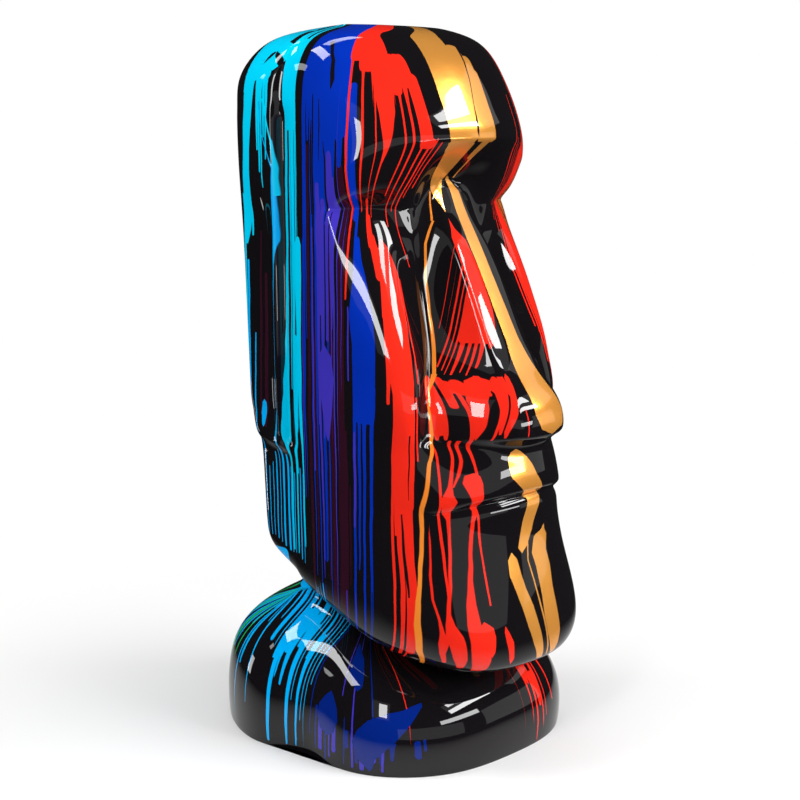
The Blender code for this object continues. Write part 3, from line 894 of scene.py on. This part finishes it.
    BASE = (
        Pour(Paint.SKY, 296, 280, (
            Run(505, 140, 240, 330), Run(415, 44, 262, 330),
            Run(474, 16, 205, 330, flare=8, shoulder=236), Run(487, 7, 176, 300, flare=3, shoulder=225),
            Run(464, 5, 118, 300), Run(471, 3, 12, 300), Run(440, 4, 60, 300, flare=4, shoulder=235),
            Run(410, 10, 172, 300, flare=6, shoulder=240), Run(448, 4, 190, 300), Run(424, 3.5, 200, 300),
            Run(397, 4, 168, 280), Run(388, 9, 150, 290), Run(382, 6, 8, 220, flare=3, shoulder=145),
            Run(369, 14, 158, 222), Run(364, 5, 108, 190), Run(376, 3, 120, 240), Run(355, 9, 168, 235),
            Run(349, 5, 8, 200, flare=3, shoulder=120), Run(341, 3, 88, 250), Run(334, 5, 155, 230),
            Run(329, 4.5, 8, 190, flare=2, shoulder=110), Run(320, 3, 56, 280), Run(313, 3, 8, 290),
            Run(306, 2.5, 120, 290), Run(540, 20, 150, 330), Run(528, 5, 60, 330), Run(556, 5, 95, 330),
            Run(515, 4, 30, 330), Run(500, 4, 130, 330), Run(360, 3, 190, 290), Run(345, 3, 200, 290),
            Run(325, 2.5, 215, 290),
        )),
        Pour(Paint.NAVY, 100, 220, (
            Run(286, 4, 20, 95, flare=2, shoulder=80), Run(265, 5, 6, 80), Run(150, 7, 32, 62),
            Run(143, 4, 45, 64), Run(233, 3, 10, 90), Run(228, 7, 40, 70),
            Run(187, 6, 20, 60, flare=3, shoulder=48), Run(196, 3, 90, 300),
            Run(176, 5, 28, 60, flare=3, shoulder=50), Run(299, 3, 40, 290), Run(216, 5, 18, 60),
        )),
        Pour(Paint.VIOLET, 100, 220, (
            Run(276, 9, 20, 84), Run(258, 4, 14, 80), Run(249, 9, 26, 72), Run(186, 4, 8, 50),
            Run(210, 7, 8, 44), Run(196, 6, 24, 60), Run(240, 3, 120, 290), Run(222, 2.5, 60, 290),
            Run(221, 4, 8, 40),
        )),
        Pour(Paint.RED, -140, 310, (
            Run(157, 2.5, 55, 240), Run(-31, 3, 12, 180), Run(-54, 3, 38, 180), Run(-67, 3, 4, 120),
            Run(-60, 24, 138, 185), Run(-60, 8, 104, 150, flare=4, shoulder=128), Run(-78, 20, 88, 118),
            Run(-79, 10, 62, 100, flare=5, shoulder=80), Run(-86, 3, 20, 110), Run(-96, 3, 40, 185),
            Run(-90, 12, 150, 185), Run(-108, 8, 130, 185), Run(-112, 3, 60, 185), Run(-72, 3, 110, 185),
        )),
    )

    @staticmethod
    def far_side() -> tuple:
        """Draws the pours on the far side, which the front view doesn't show.

        Returns:
            The pours.
        """
        far_cheek = (Run(-170, 28, 640, 905), Run(-154, 6, 740, 890), Run(-188, 12, 700, 890))
        red = (Run(-170, 50, 1090), Run(-186, 18, 1030), Run(-300, 40, 1120)) + far_cheek
        orange = (Run(-235, 44, 1105), Run(-350, 26, 700, 900), Run(-345, 8, 380, 860))
        gold = (Run(-386, 50, 1080), Run(-262, 20, 640, 880))
        return (
            Pour(Paint.RED, -420, 300, red + fringe(11, -410, -155, 24, 1100, (1040, 230), (2.5, 7))),
            Pour(Paint.ORANGE, -420, 300, orange + fringe(12, -400, -200, 18, 1090, (1000, 260), (2.5, 6))),
            Pour(Paint.GOLD, -420, 300, gold + fringe(13, -410, -250, 14, 1070, (980, 300), (2.5, 7))),
        )

    @staticmethod
    def back() -> tuple:
        """Draws the pours on the back, which the front view doesn't show.

        Returns:
            The pours.
        """
        green = (Run(560, 130, 1080), Run(516, 30, 980), Run(600, 22, 900, 1100))
        sky = (Run(640, 60, 1110), Run(655, 14, 960))
        gold = (Run(-650, 80, 1100), Run(-560, 24, 1020), Run(-470, 60, 1090))
        red = (Run(-590, 50, 1085), Run(-520, 16, 820, 1120))
        return (
            Pour(Paint.GREEN, 470, 225, green + fringe(21, 480, 690, 24, 1070, (1020, 210), (2.5, 8))),
            Pour(Paint.SKY, 470, 225, sky + fringe(22, 560, 690, 12, 1090, (1000, 330), (2.5, 6))),
            Pour(Paint.GOLD, -700, 290, gold + fringe(23, -690, -430, 24, 1080, (1000, 220), (2.5, 8))),
            Pour(Paint.RED, -700, 290, red + fringe(24, -650, -430, 18, 1070, (980, 300), (2.5, 7))),
            Pour(Paint.GREEN, 470, 225, fringe(25, 480, 690, 10, 210, (150, 12), (2.5, 6), top=240)),
            Pour(Paint.ORANGE, -700, 560, fringe(26, -690, -150, 26, 190, (150, 12), (2.5, 7), top=235)),
        )

    @classmethod
    def all(cls) -> tuple:
        """Gives every pour, from the first to the last."""
        return cls.NEAR_SIDE + cls.FRONT + cls.BASE + cls.far_side() + cls.back()


class Socket(Enum):
    """The kinds of socket that the node groups have."""

    VALUE = "NodeSocketFloat"
    VECTOR = "NodeSocketVector"


# Where a Mix node keeps its lower input, its upper input and its result, for each kind of data
MIX_SOCKETS = {"RGBA": (6, 7, 2), "FLOAT": (2, 3, 0)}


class NodeBench:
    """A node tree under construction, with short ways to add and join its nodes."""

    tree: bpy.types.NodeTree

    def link(self, value: object, socket: bpy.types.NodeSocket) -> None:
        """Joins a value to a socket.

        Args:
            value: a socket, which is linked, or a plain value, which is set.
            socket: the input that takes it.
        """
        if isinstance(value, bpy.types.NodeSocket):
            self.tree.links.new(value, socket)
        else:
            socket.default_value = value

    def maths(self, operation: str, *values: object, clamp: bool = False) -> bpy.types.NodeSocket:
        """Adds a Math node.

        Args:
            operation: the operation's name.
            values: its inputs, sockets or numbers.
            clamp: whether the result is kept between 0 and 1.

        Returns:
            The node's output.
        """
        node = self.tree.nodes.new("ShaderNodeMath")
        node.operation = operation
        node.use_clamp = clamp
        for socket, value in zip(node.inputs, values):
            self.link(value, socket)
        return node.outputs[0]

    def noise(self, place: bpy.types.NodeSocket, scale: float, detail: float,
              dimensions: str = "3D") -> bpy.types.NodeSocket:
        """Adds a Noise Texture node.

        Args:
            place: where it is read.
            scale: how fine it is.
            detail: how many finer layers it has.
            dimensions: 2D or 3D.

        Returns:
            The node's value.
        """
        node = self.tree.nodes.new("ShaderNodeTexNoise")
        node.noise_dimensions = dimensions
        node.inputs["Scale"].default_value = scale
        node.inputs["Detail"].default_value = detail
        self.link(place, node.inputs["Vector"])
        return node.outputs[0]


class GroupMaker(NodeBench):
    """A shader node group under construction."""

    def __init__(self, name: str, inputs: dict, outputs: dict) -> None:
        """Starts a group.

        Args:
            name: the group's name.
            inputs: input names, each with its Socket.
            outputs: output names, each with its Socket.
        """
        self.tree = bpy.data.node_groups.new(name, "ShaderNodeTree")
        for label, kind in inputs.items():
            self.tree.interface.new_socket(label, in_out="INPUT", socket_type=kind.value)
        for label, kind in outputs.items():
            self.tree.interface.new_socket(label, in_out="OUTPUT", socket_type=kind.value)
        self.source = self.tree.nodes.new("NodeGroupInput")
        self.sink = self.tree.nodes.new("NodeGroupOutput")

    def given(self, label: str) -> bpy.types.NodeSocket:
        """Gives one of the group's inputs, from inside it."""
        return self.source.outputs[label]

    def put(self, value: object, label: str) -> None:
        """Joins a value to one of the group's outputs."""
        self.link(value, self.sink.inputs[label])


@dataclass
class EffectGroups:
    """The node groups that the lacquer is made with, each built once.

    wander_scale: how fast the runs wander around and down, in bends for each metre. wander_drop: how much
    of that goes into the height. pour_edge, strand_edge: how sharp an edge of paint is. skin_noises: scale
    and detail of the coat's broad, rippled and grainy unevenness. broad_rough: how much the broad one dulls
    the coat. grain_share, broad_share: how much of them the relief has beside the ripple.
    """

    wander_scale: tuple = (26.0, 9.0, 0.0)
    wander_drop: float = 1.5
    pour_edge: float = 1200.0
    strand_edge: float = 1800.0
    skin_noises: tuple = ((7.0, 3.0), (55.0, 2.0), (420.0, 1.0))
    broad_rough: float = 0.05
    grain_share: float = 0.02
    broad_share: float = 0.6

    def __post_init__(self) -> None:
        """Builds the groups."""
        self.wander = self.make_wander()
        self.pour = self.make_pour()
        self.strand = self.make_strand()
        self.skin = self.make_skin()

    def make_wander(self) -> bpy.types.NodeTree:
        """Makes the group that bends the runs a little, as real paint wanders while it falls.

        Returns:
            The group.
        """
        group = GroupMaker("Wander", {"Flow": Socket.VECTOR, "Amount": Socket.VALUE},
                           {"Around": Socket.VALUE, "Height": Socket.VALUE})
        split = group.tree.nodes.new("ShaderNodeSeparateXYZ")
        group.link(group.given("Flow"), split.inputs[0])
        stretch = group.tree.nodes.new("ShaderNodeVectorMath")
        stretch.operation = "MULTIPLY"
        group.link(group.given("Flow"), stretch.inputs[0])
        stretch.inputs[1].default_value = self.wander_scale
        noise = group.noise(stretch.outputs[0], 1.0, 2.0, "2D")
        swing = group.maths("SUBTRACT", noise, 0.5)
        swing = group.maths("MULTIPLY", swing, group.given("Amount"))
        group.put(group.maths("ADD", split.outputs[0], swing), "Around")
        group.put(group.maths("MULTIPLY_ADD", swing, self.wander_drop, split.outputs[1]), "Height")
        return group.tree

    def make_pour(self) -> bpy.types.NodeTree:
        """Makes the group that fills a pour between its outlines.

        Returns:
            The group.
        """
        group = GroupMaker("Pour", {"Level": Socket.VALUE, "Upper": Socket.VALUE, "Lower": Socket.VALUE},
                           {"Paint": Socket.VALUE})
        above = group.maths("SUBTRACT", group.given("Level"), group.given("Lower"))
        below = group.maths("SUBTRACT", group.given("Upper"), group.given("Level"))
        inside = group.maths("MINIMUM", above, below)
        group.put(group.maths("MULTIPLY_ADD", inside, self.pour_edge, 0.5, clamp=True), "Paint")
        return group.tree

    def make_strand(self) -> bpy.types.NodeTree:
        """Makes the group that fills a strand each side of its middle.

        Returns:
            The group.
        """
        inputs = {"Around": Socket.VALUE, "Middle": Socket.VALUE, "Width": Socket.VALUE}
        group = GroupMaker("Strand", inputs, {"Paint": Socket.VALUE})
        away = group.maths("SUBTRACT", group.given("Around"), group.given("Middle"))
        away = group.maths("ABSOLUTE", away)
        inside = group.maths("MULTIPLY_ADD", group.given("Width"), 0.5, group.maths("MULTIPLY", away, -1.0))
        group.put(group.maths("MULTIPLY_ADD", inside, self.strand_edge, 0.5, clamp=True), "Paint")
        return group.tree

    def make_skin(self) -> bpy.types.NodeTree:
        """Makes the group that gives the coat its slight ripple and its unequal gloss.

        Returns:
            The group.
        """
        group = GroupMaker("Lacquer skin", {"Place": Socket.VECTOR, "Roughness": Socket.VALUE},
                           {"Roughness": Socket.VALUE, "Relief": Socket.VALUE, "Tone": Socket.VALUE})
        place = group.given("Place")
        broad, ripple, grain = (group.noise(place, scale, detail) for scale, detail in self.skin_noises)
        rough = group.maths("MULTIPLY_ADD", broad, self.broad_rough, group.given("Roughness"))
        group.put(rough, "Roughness")
        relief = group.maths("MULTIPLY_ADD", grain, self.grain_share, ripple)
        group.put(group.maths("MULTIPLY_ADD", broad, self.broad_share, relief), "Relief")
        group.put(broad, "Tone")
        return group.tree


@dataclass
class PouredLacquer(NodeBench):
    """The finish of the whole figure: black lacquer, the pours over it, and a clear coat over all.

    flow_name: the UV map that the paint runs on. coat, coat_roughness: the clear coat. under_gloss: the
    gloss that the paint has of its own. lowest, tallest: the heights that the outlines are drawn between.
    wander: how far the runs wander. paint_relief, skin_relief: how far the paint's edge and the coat's
    ripple stand. strand_margin: the room beside a strand's middle line. width_margin: the room over its
    widest place. strand_trim: how much narrower it is drawn. samples: how many steps an outline has.
    bend: the change of slope that counts as a corner of an outline.
    """

    flow_name: str
    black: tuple = (0.006, 0.005, 0.006, 1.0)
    black_roughness: float = 0.05
    coat: float = 1.0
    coat_roughness: float = 0.02
    under_gloss: float = 0.0
    lowest: float = -0.15
    tallest: float = 1.45
    wander: float = 0.004
    paint_relief: float = 0.0004
    skin_relief: float = 0.00035
    strand_margin: float = 0.01
    width_margin: float = 1.05
    strand_trim: float = 0.0006
    samples: int = 256
    bend: float = 1e-5

    def __post_init__(self) -> None:
        """Makes the material and its groups."""
        self.groups = EffectGroups()
        self.material = bpy.data.materials.new(SLOT)
        self.material.use_nodes = True
        self.tree = self.material.node_tree
        self.shader = self.tree.nodes["Principled BSDF"]

    def group(self, tree: bpy.types.NodeTree, **values: object) -> bpy.types.Node:
        """Places a node group.

        Args:
            tree: the group.
            values: its inputs by name, sockets or plain values.

        Returns:
            The group's node.
        """
        node = self.tree.nodes.new("ShaderNodeGroup")
        node.node_tree = tree
        for label, value in values.items():
            self.link(value, node.inputs[label])
        return node

    def stretch(self, value: bpy.types.NodeSocket, start: float, end: float) -> bpy.types.NodeSocket:
        """Maps a value so that start is 0 and end is 1.

        Args:
            value: the value.
            start: what becomes 0.
            end: what becomes 1.

        Returns:
            The share, kept between 0 and 1.
        """
        node = self.tree.nodes.new("ShaderNodeMapRange")
        node.clamp = True
        self.link(value, node.inputs["Value"])
        node.inputs["From Min"].default_value = start
        node.inputs["From Max"].default_value = end
        return node.outputs["Result"]

    def level(self, metres: np.ndarray) -> np.ndarray:
        """Turns heights into shares of the outlines' range."""
        return (metres - self.lowest) / (self.tallest - self.lowest)

    def outline(self, value: bpy.types.NodeSocket, shares: np.ndarray) -> bpy.types.NodeSocket:
        """Draws an outline as a curve with straight pieces.

        Args:
            value: where along the outline, from 0 to 1.
            shares: the outline's heights at equal steps, from 0 to 1.

        Returns:
            The outline's height there.
        """
        node = self.tree.nodes.new("ShaderNodeFloatCurve")
        curve = node.mapping.curves[0]
        shares = np.clip(shares, 0.0, 1.0)
        last = len(shares) - 1
        curve.points[0].location = (0.0, shares[0])
        curve.points[1].location = (1.0, shares[-1])
        for index in range(1, last):
            turn = abs(shares[index + 1] - 2 * shares[index] + shares[index - 1])
            if turn > self.bend:
                curve.points.new(index / last, shares[index])
        for point in curve.points:
            point.handle_type = "VECTOR"
        node.mapping.update()
        self.link(value, node.inputs["Value"])
        return node.outputs[0]

    def pour(self, pour: Pour, around: bpy.types.NodeSocket,
             level: bpy.types.NodeSocket) -> bpy.types.NodeSocket:
        """Draws one pour.

        Args:
            pour: the pour.
            around: the way around.
            level: the height, as a share of the outlines' range.

        Returns:
            How much of the surface is under this paint.
        """
        places = pour.start + pour.span * np.arange(self.samples) / (self.samples - 1)
        upper = np.max([run.upper(places) for run in pour.runs], axis=0)
        lower = np.min([run.lower(places) for run in pour.runs], axis=0)
        upper[[0, -1]] = BELOW_ALL
        lower[[0, -1]] = ABOVE_ALL
        share = self.stretch(around, pour.start * MM, (pour.start + pour.span) * MM)
        upper = self.outline(share, self.level(upper * MM))
        lower = self.outline(share, self.level(lower * MM))
        return self.group(self.groups.pour, Level=level, Upper=upper, Lower=lower).outputs["Paint"]

    def strand(self, strand: Strand, around: bpy.types.NodeSocket,
               height: bpy.types.NodeSocket) -> bpy.types.NodeSocket:
        """Draws one strand.

        Args:
            strand: the strand.
            around: the way around, in metres.
            height: the height, in metres.

        Returns:
            How much of the surface is under this strand.
        """
        heights, middles, widths = (np.array(column) * MM for column in zip(*strand.knots))
        low, high = heights[0], heights[-1]
        share = self.stretch(height, low, high)
        left, right = middles.min() - self.strand_margin, middles.max() + self.strand_margin
        steps = np.linspace(low, high, self.samples)
        middle = self.outline(share, (np.interp(steps, heights, middles) - left) / (right - left))
        middle = self.maths("MULTIPLY_ADD", middle, right - left, left)
        widest = widths.max() * self.width_margin
        width = np.interp(steps, heights, widths) / widest
        width[[0, -1]] = 0
        width = self.maths("MULTIPLY_ADD", self.outline(share, width), widest, -self.strand_trim)
        return self.group(self.groups.strand, Around=around, Middle=middle, Width=width).outputs["Paint"]

    def mix(self, share: bpy.types.NodeSocket, below: object, above: object,
            kind: str = "RGBA") -> bpy.types.NodeSocket:
        """Lays one colour or value over another.

        Args:
            share: how much of the upper one shows.
            below: the lower one.
            above: the upper one.
            kind: RGBA for colours, FLOAT for values.

        Returns:
            The result.
        """
        node = self.tree.nodes.new("ShaderNodeMix")
        node.data_type = kind
        lower, upper, result = MIX_SOCKETS[kind]
        self.link(share, node.inputs[0])
        self.link(below, node.inputs[lower])
        self.link(above, node.inputs[upper])
        return node.outputs[result]

    def build(self) -> bpy.types.Material:
        """Builds the material.

        Returns:
            The finished material.
        """
        flow = self.tree.nodes.new("ShaderNodeUVMap")
        flow.uv_map = self.flow_name
        place = self.tree.nodes.new("ShaderNodeTexCoord")
        wandered = self.group(self.groups.wander, Flow=flow.outputs[0], Amount=self.wander)
        around, height = wandered.outputs["Around"], wandered.outputs["Height"]
        level = self.stretch(height, self.lowest, self.tallest)
        skin = self.group(self.groups.skin, Place=place.outputs["Object"], Roughness=self.black_roughness)
        colour: object = self.black
        metal: object = 0.0
        rough: object = skin.outputs["Roughness"]
        covered: object = 0.0
        layers = [(pour.paint, self.pour(pour, around, level)) for pour in Pours.all()]
        layers += [(strand.paint, self.strand(strand, around, height)) for strand in Pours.STRANDS]
        for paint, share in layers:
            enamel = paint.value
            tone = self.mix(skin.outputs["Tone"], (*enamel.tone, 1.0), (*enamel.second, 1.0))
            colour = self.mix(share, colour, tone)
            covered = self.mix(share, covered, 1.0, "FLOAT")
            metal = self.mix(share, metal, enamel.metallic, "FLOAT")
            rough = self.mix(share, rough, enamel.roughness, "FLOAT")
        self.link(colour, self.shader.inputs["Base Color"])
        self.link(metal, self.shader.inputs["Metallic"])
        self.link(rough, self.shader.inputs["Roughness"])
        self.shader.inputs["Coat Weight"].default_value = self.coat
        self.shader.inputs["Coat Roughness"].default_value = self.coat_roughness
        self.shader.inputs["Specular IOR Level"].default_value = self.under_gloss
        ripple = self.bump(skin.outputs["Relief"], self.skin_relief, None)
        edges = self.bump(covered, self.paint_relief, ripple)
        self.link(edges, self.shader.inputs["Normal"])
        return self.material

    def bump(self, height: bpy.types.NodeSocket, distance: float, normal: object) -> bpy.types.NodeSocket:
        """Adds a Bump node.

        Args:
            height: the relief, from 0 to 1.
            distance: how far that stands, in metres.
            normal: the normal below it, or None.

        Returns:
            The new normal.
        """
        node = self.tree.nodes.new("ShaderNodeBump")
        node.inputs["Distance"].default_value = distance
        self.link(height, node.inputs["Height"])
        if normal is not None:
            self.link(normal, node.inputs["Normal"])
        return node.outputs[0]


@dataclass(frozen=True)
class SoftLight:
    """One softbox, placed by the way it lies from the figure, in degrees.

    azimuth, elevation: the middle of its face. wide, tall: the angles that it covers. radiance: how bright
    its face is. roll: how far it is turned about its middle. distance: how far away it hangs, in metres.
    aim: the height on the figure's axis that it faces.
    """

    name: str
    azimuth: float
    elevation: float
    wide: float
    tall: float
    radiance: float
    roll: float = 0.0
    distance: float = 5.0
    aim: float = 0.6

    def build(self) -> bpy.types.Object:
        """Hangs the softbox.

        Returns:
            The light's object.
        """
        lamp = bpy.data.lights.new(self.name, "AREA")
        lamp.shape = "RECTANGLE"
        lamp.size = 2 * self.distance * math.tan(math.radians(self.wide / 2))
        lamp.size_y = 2 * self.distance * math.tan(math.radians(self.tall / 2))
        lamp.energy = self.radiance * math.pi * lamp.size * lamp.size_y
        light = bpy.data.objects.new(self.name, lamp)
        turn, rise = math.radians(self.azimuth), math.radians(self.elevation)
        way = Vector((math.cos(rise) * math.cos(turn), math.cos(rise) * math.sin(turn), math.sin(rise)))
        light.location = way * self.distance + Vector((0, 0, self.aim))
        facing = way.to_track_quat("Z", "Y") @ Quaternion((0, 0, 1), math.radians(self.roll))
        light.rotation_euler = facing.to_euler()
        light.visible_camera = False
        bpy.context.scene.collection.objects.link(light)
        return light


@dataclass(frozen=True)
class PhotoCamera:
    """The camera of the photograph.

    azimuth, distance: where it stands round the figure's axis. height: how high. pitch: how far it looks
    down. focal_pixels: its focal length in pixels of a picture picture_pixels wide. centre_pixels: the
    column of the picture that its axis meets. sensor: the width of its sensor, in millimetres.
    """

    azimuth: float = 225.0
    distance: float = 2.6
    height: float = 1.05
    pitch: float = 10.5
    focal_pixels: float = 1519.0
    centre_pixels: float = 394.0
    picture_pixels: float = 800.0
    sensor: float = 36.0

    def build(self) -> bpy.types.Object:
        """Sets up the camera and makes it the scene's.

        Returns:
            The camera's object.
        """
        lens = bpy.data.cameras.new("photo_camera")
        lens.sensor_width = self.sensor
        lens.lens = self.focal_pixels / self.picture_pixels * self.sensor
        lens.shift_x = (self.picture_pixels / 2 - self.centre_pixels) / self.picture_pixels
        camera = bpy.data.objects.new("photo_camera", lens)
        turn, down = math.radians(self.azimuth), math.radians(self.pitch)
        camera.location = (self.distance * math.cos(turn), self.distance * math.sin(turn), self.height)
        look = Vector((-math.cos(turn) * math.cos(down), -math.sin(turn) * math.cos(down), -math.sin(down)))
        camera.rotation_euler = look.to_track_quat("-Z", "Y").to_euler()
        bpy.context.scene.collection.objects.link(camera)
        bpy.context.scene.camera = camera
        return camera


@dataclass(frozen=True)
class Studio:
    """The pale floor, the soft surround and the softboxes.

    floor_radius, floor_sides: the sheet of paper. floor_tone, floor_roughness: its finish. floor_seen: the
    distances between which it fades into the surround. pool: the middle of the lit floor in plan, with the
    distances between which it fades away in reflections. backdrop, fill, mirror: how bright the surround is
    to the camera, as soft light, and in mirror reflections.
    """

    floor_radius: float = 7.0
    floor_sides: int = 96
    floor_tone: float = 0.90
    floor_roughness: float = 0.9
    floor_seen: tuple = (0.3, 1.1)
    pool: tuple = (0.1, 0.1, 0.25, 0.95)
    backdrop: float = 1.0
    fill: float = 0.38
    mirror: float = 0.015
    lights: tuple = (
        SoftLight("key_upper", 298, 41, 30, 5, 17.0),
        SoftLight("key_lower", 297, 31, 36, 6, 19.0),
        SoftLight("key_halo", 298, 36, 40, 16, 0.5),
        SoftLight("lip_glint", 277, 7, 36, 6, 12.0, distance=1.5, aim=0.45),
        SoftLight("jaw_sheen", 252, 2, 62, 24, 0.55, aim=0.4),
        SoftLight("strip", 209, 17, 8, 26, 15.0, distance=1.65, aim=0.85),
        SoftLight("strip_halo", 206, 20, 18, 34, 0.4, distance=1.8, aim=0.85),
        SoftLight("high_left", 141, 57, 25, 12, 11.0),
        SoftLight("left_glint", 134, 31, 7, 6, 5.0),
        SoftLight("low_left", 122, -15, 6, 14, 6.0, distance=1.6),
        SoftLight("rim_right", 335, 32, 18, 18, 0.8),
        SoftLight("reflector_right", 316, -6, 30, 40, 0.7),
        SoftLight("top_edge", 85, 70, 24, 8, 6.0),
    )

    def seen_strength(self, tree: bpy.types.NodeTree) -> bpy.types.NodeSocket:
        """Gives how bright the surround is to the ray that meets it.

        Args:
            tree: the node tree of the world or of the floor.

        Returns:
            The strength: one for the camera, one for soft light and one for mirror reflections.
        """
        paths = tree.nodes.new("ShaderNodeLightPath")
        glossy = tree.nodes.new("ShaderNodeMix")
        tree.links.new(paths.outputs["Is Glossy Ray"], glossy.inputs[0])
        glossy.inputs[2].default_value = self.fill
        glossy.inputs[3].default_value = self.mirror
        shown = tree.nodes.new("ShaderNodeMix")
        tree.links.new(paths.outputs["Is Camera Ray"], shown.inputs[0])
        tree.links.new(glossy.outputs[0], shown.inputs[2])
        shown.inputs[3].default_value = self.backdrop
        return shown.outputs[0]

    def floor_material(self) -> bpy.types.Material:
        """Makes the floor's white paper, which fades into the surround away from the figure.

        Returns:
            The material.
        """
        paper = bpy.data.materials.new("pale_floor")
        paper.use_nodes = True
        tree = paper.node_tree
        shader = tree.nodes["Principled BSDF"]
        shader.inputs["Base Color"].default_value = (self.floor_tone, self.floor_tone, self.floor_tone, 1.0)
        shader.inputs["Roughness"].default_value = self.floor_roughness
        shader.inputs["Specular IOR Level"].default_value = 0.0
        place = tree.nodes.new("ShaderNodeTexCoord")
        fades = []
        pool_middle = (self.pool[0], self.pool[1], 0)
        for middle, reach in (((0, 0, 0), self.floor_seen), (pool_middle, self.pool[2:])):
            away = tree.nodes.new("ShaderNodeVectorMath")
            away.operation = "DISTANCE"
            tree.links.new(place.outputs["Object"], away.inputs[0])
            away.inputs[1].default_value = middle
            fade = tree.nodes.new("ShaderNodeMapRange")
            fade.interpolation_type = "SMOOTHSTEP"
            tree.links.new(away.outputs["Value"], fade.inputs["Value"])
            fade.inputs["From Min"].default_value = reach[0]
            fade.inputs["From Max"].default_value = reach[1]
            fades.append(fade.outputs["Result"])
        paths = tree.nodes.new("ShaderNodeLightPath")
        share = tree.nodes.new("ShaderNodeMix")
        tree.links.new(paths.outputs["Is Glossy Ray"], share.inputs[0])
        tree.links.new(fades[0], share.inputs[2])
        tree.links.new(fades[1], share.inputs[3])
        surround = tree.nodes.new("ShaderNodeEmission")
        tree.links.new(self.seen_strength(tree), surround.inputs["Strength"])
        both = tree.nodes.new("ShaderNodeMixShader")
        tree.links.new(share.outputs[0], both.inputs[0])
        tree.links.new(shader.outputs[0], both.inputs[1])
        tree.links.new(surround.outputs[0], both.inputs[2])
        tree.links.new(both.outputs[0], tree.nodes["Material Output"].inputs["Surface"])
        return paper

    def floor(self) -> bpy.types.Object:
        """Lays the floor, a round sheet of paper.

        Returns:
            The floor's object.
        """
        bm = bmesh.new()
        bmesh.ops.create_circle(bm, cap_ends=True, segments=self.floor_sides, radius=self.floor_radius)
        mesh = bpy.data.meshes.new("floor")
        bm.to_mesh(mesh)
        bm.free()
        floor = bpy.data.objects.new("floor", mesh)
        bpy.context.scene.collection.objects.link(floor)
        mesh.materials.append(self.floor_material())
        return floor

    def surround(self) -> None:
        """Sets the surround: white behind the figure, soft fill light, and dark in mirror reflections."""
        world = bpy.data.worlds.new("studio")
        world.use_nodes = True
        tree = world.node_tree
        back = tree.nodes["Background"]
        tree.links.new(self.seen_strength(tree), back.inputs["Strength"])
        back.inputs["Color"].default_value = (1.0, 1.0, 1.0, 1.0)
        bpy.context.scene.world = world

    def build(self) -> None:
        """Sets up the whole studio."""
        self.floor()
        self.surround()
        for light in self.lights:
            light.build()
        bpy.context.scene.view_settings.view_transform = "Standard"


def main() -> None:
    """Builds the figure, its finish and the studio."""
    logging.basicConfig(level=logging.INFO, format="%(name)s: %(message)s")
    figure = MoaiFigure()
    piece = figure.build()
    piece.data.materials.append(PouredLacquer(figure.flow.name).build())
    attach(piece, "root")
    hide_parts(NODE)
    LOG.info("figure: %d faces, %d pours, %d strands", len(piece.data.polygons), len(Pours.all()),
             len(Pours.STRANDS))
    studio = Studio()
    studio.build()
    LOG.info("studio: floor, surround and %d softboxes", len(studio.lights))
    camera = PhotoCamera().build()
    LOG.info("camera: %s, %.0f mm", camera.name, camera.data.lens)


if __name__ == "__main__":
    main()
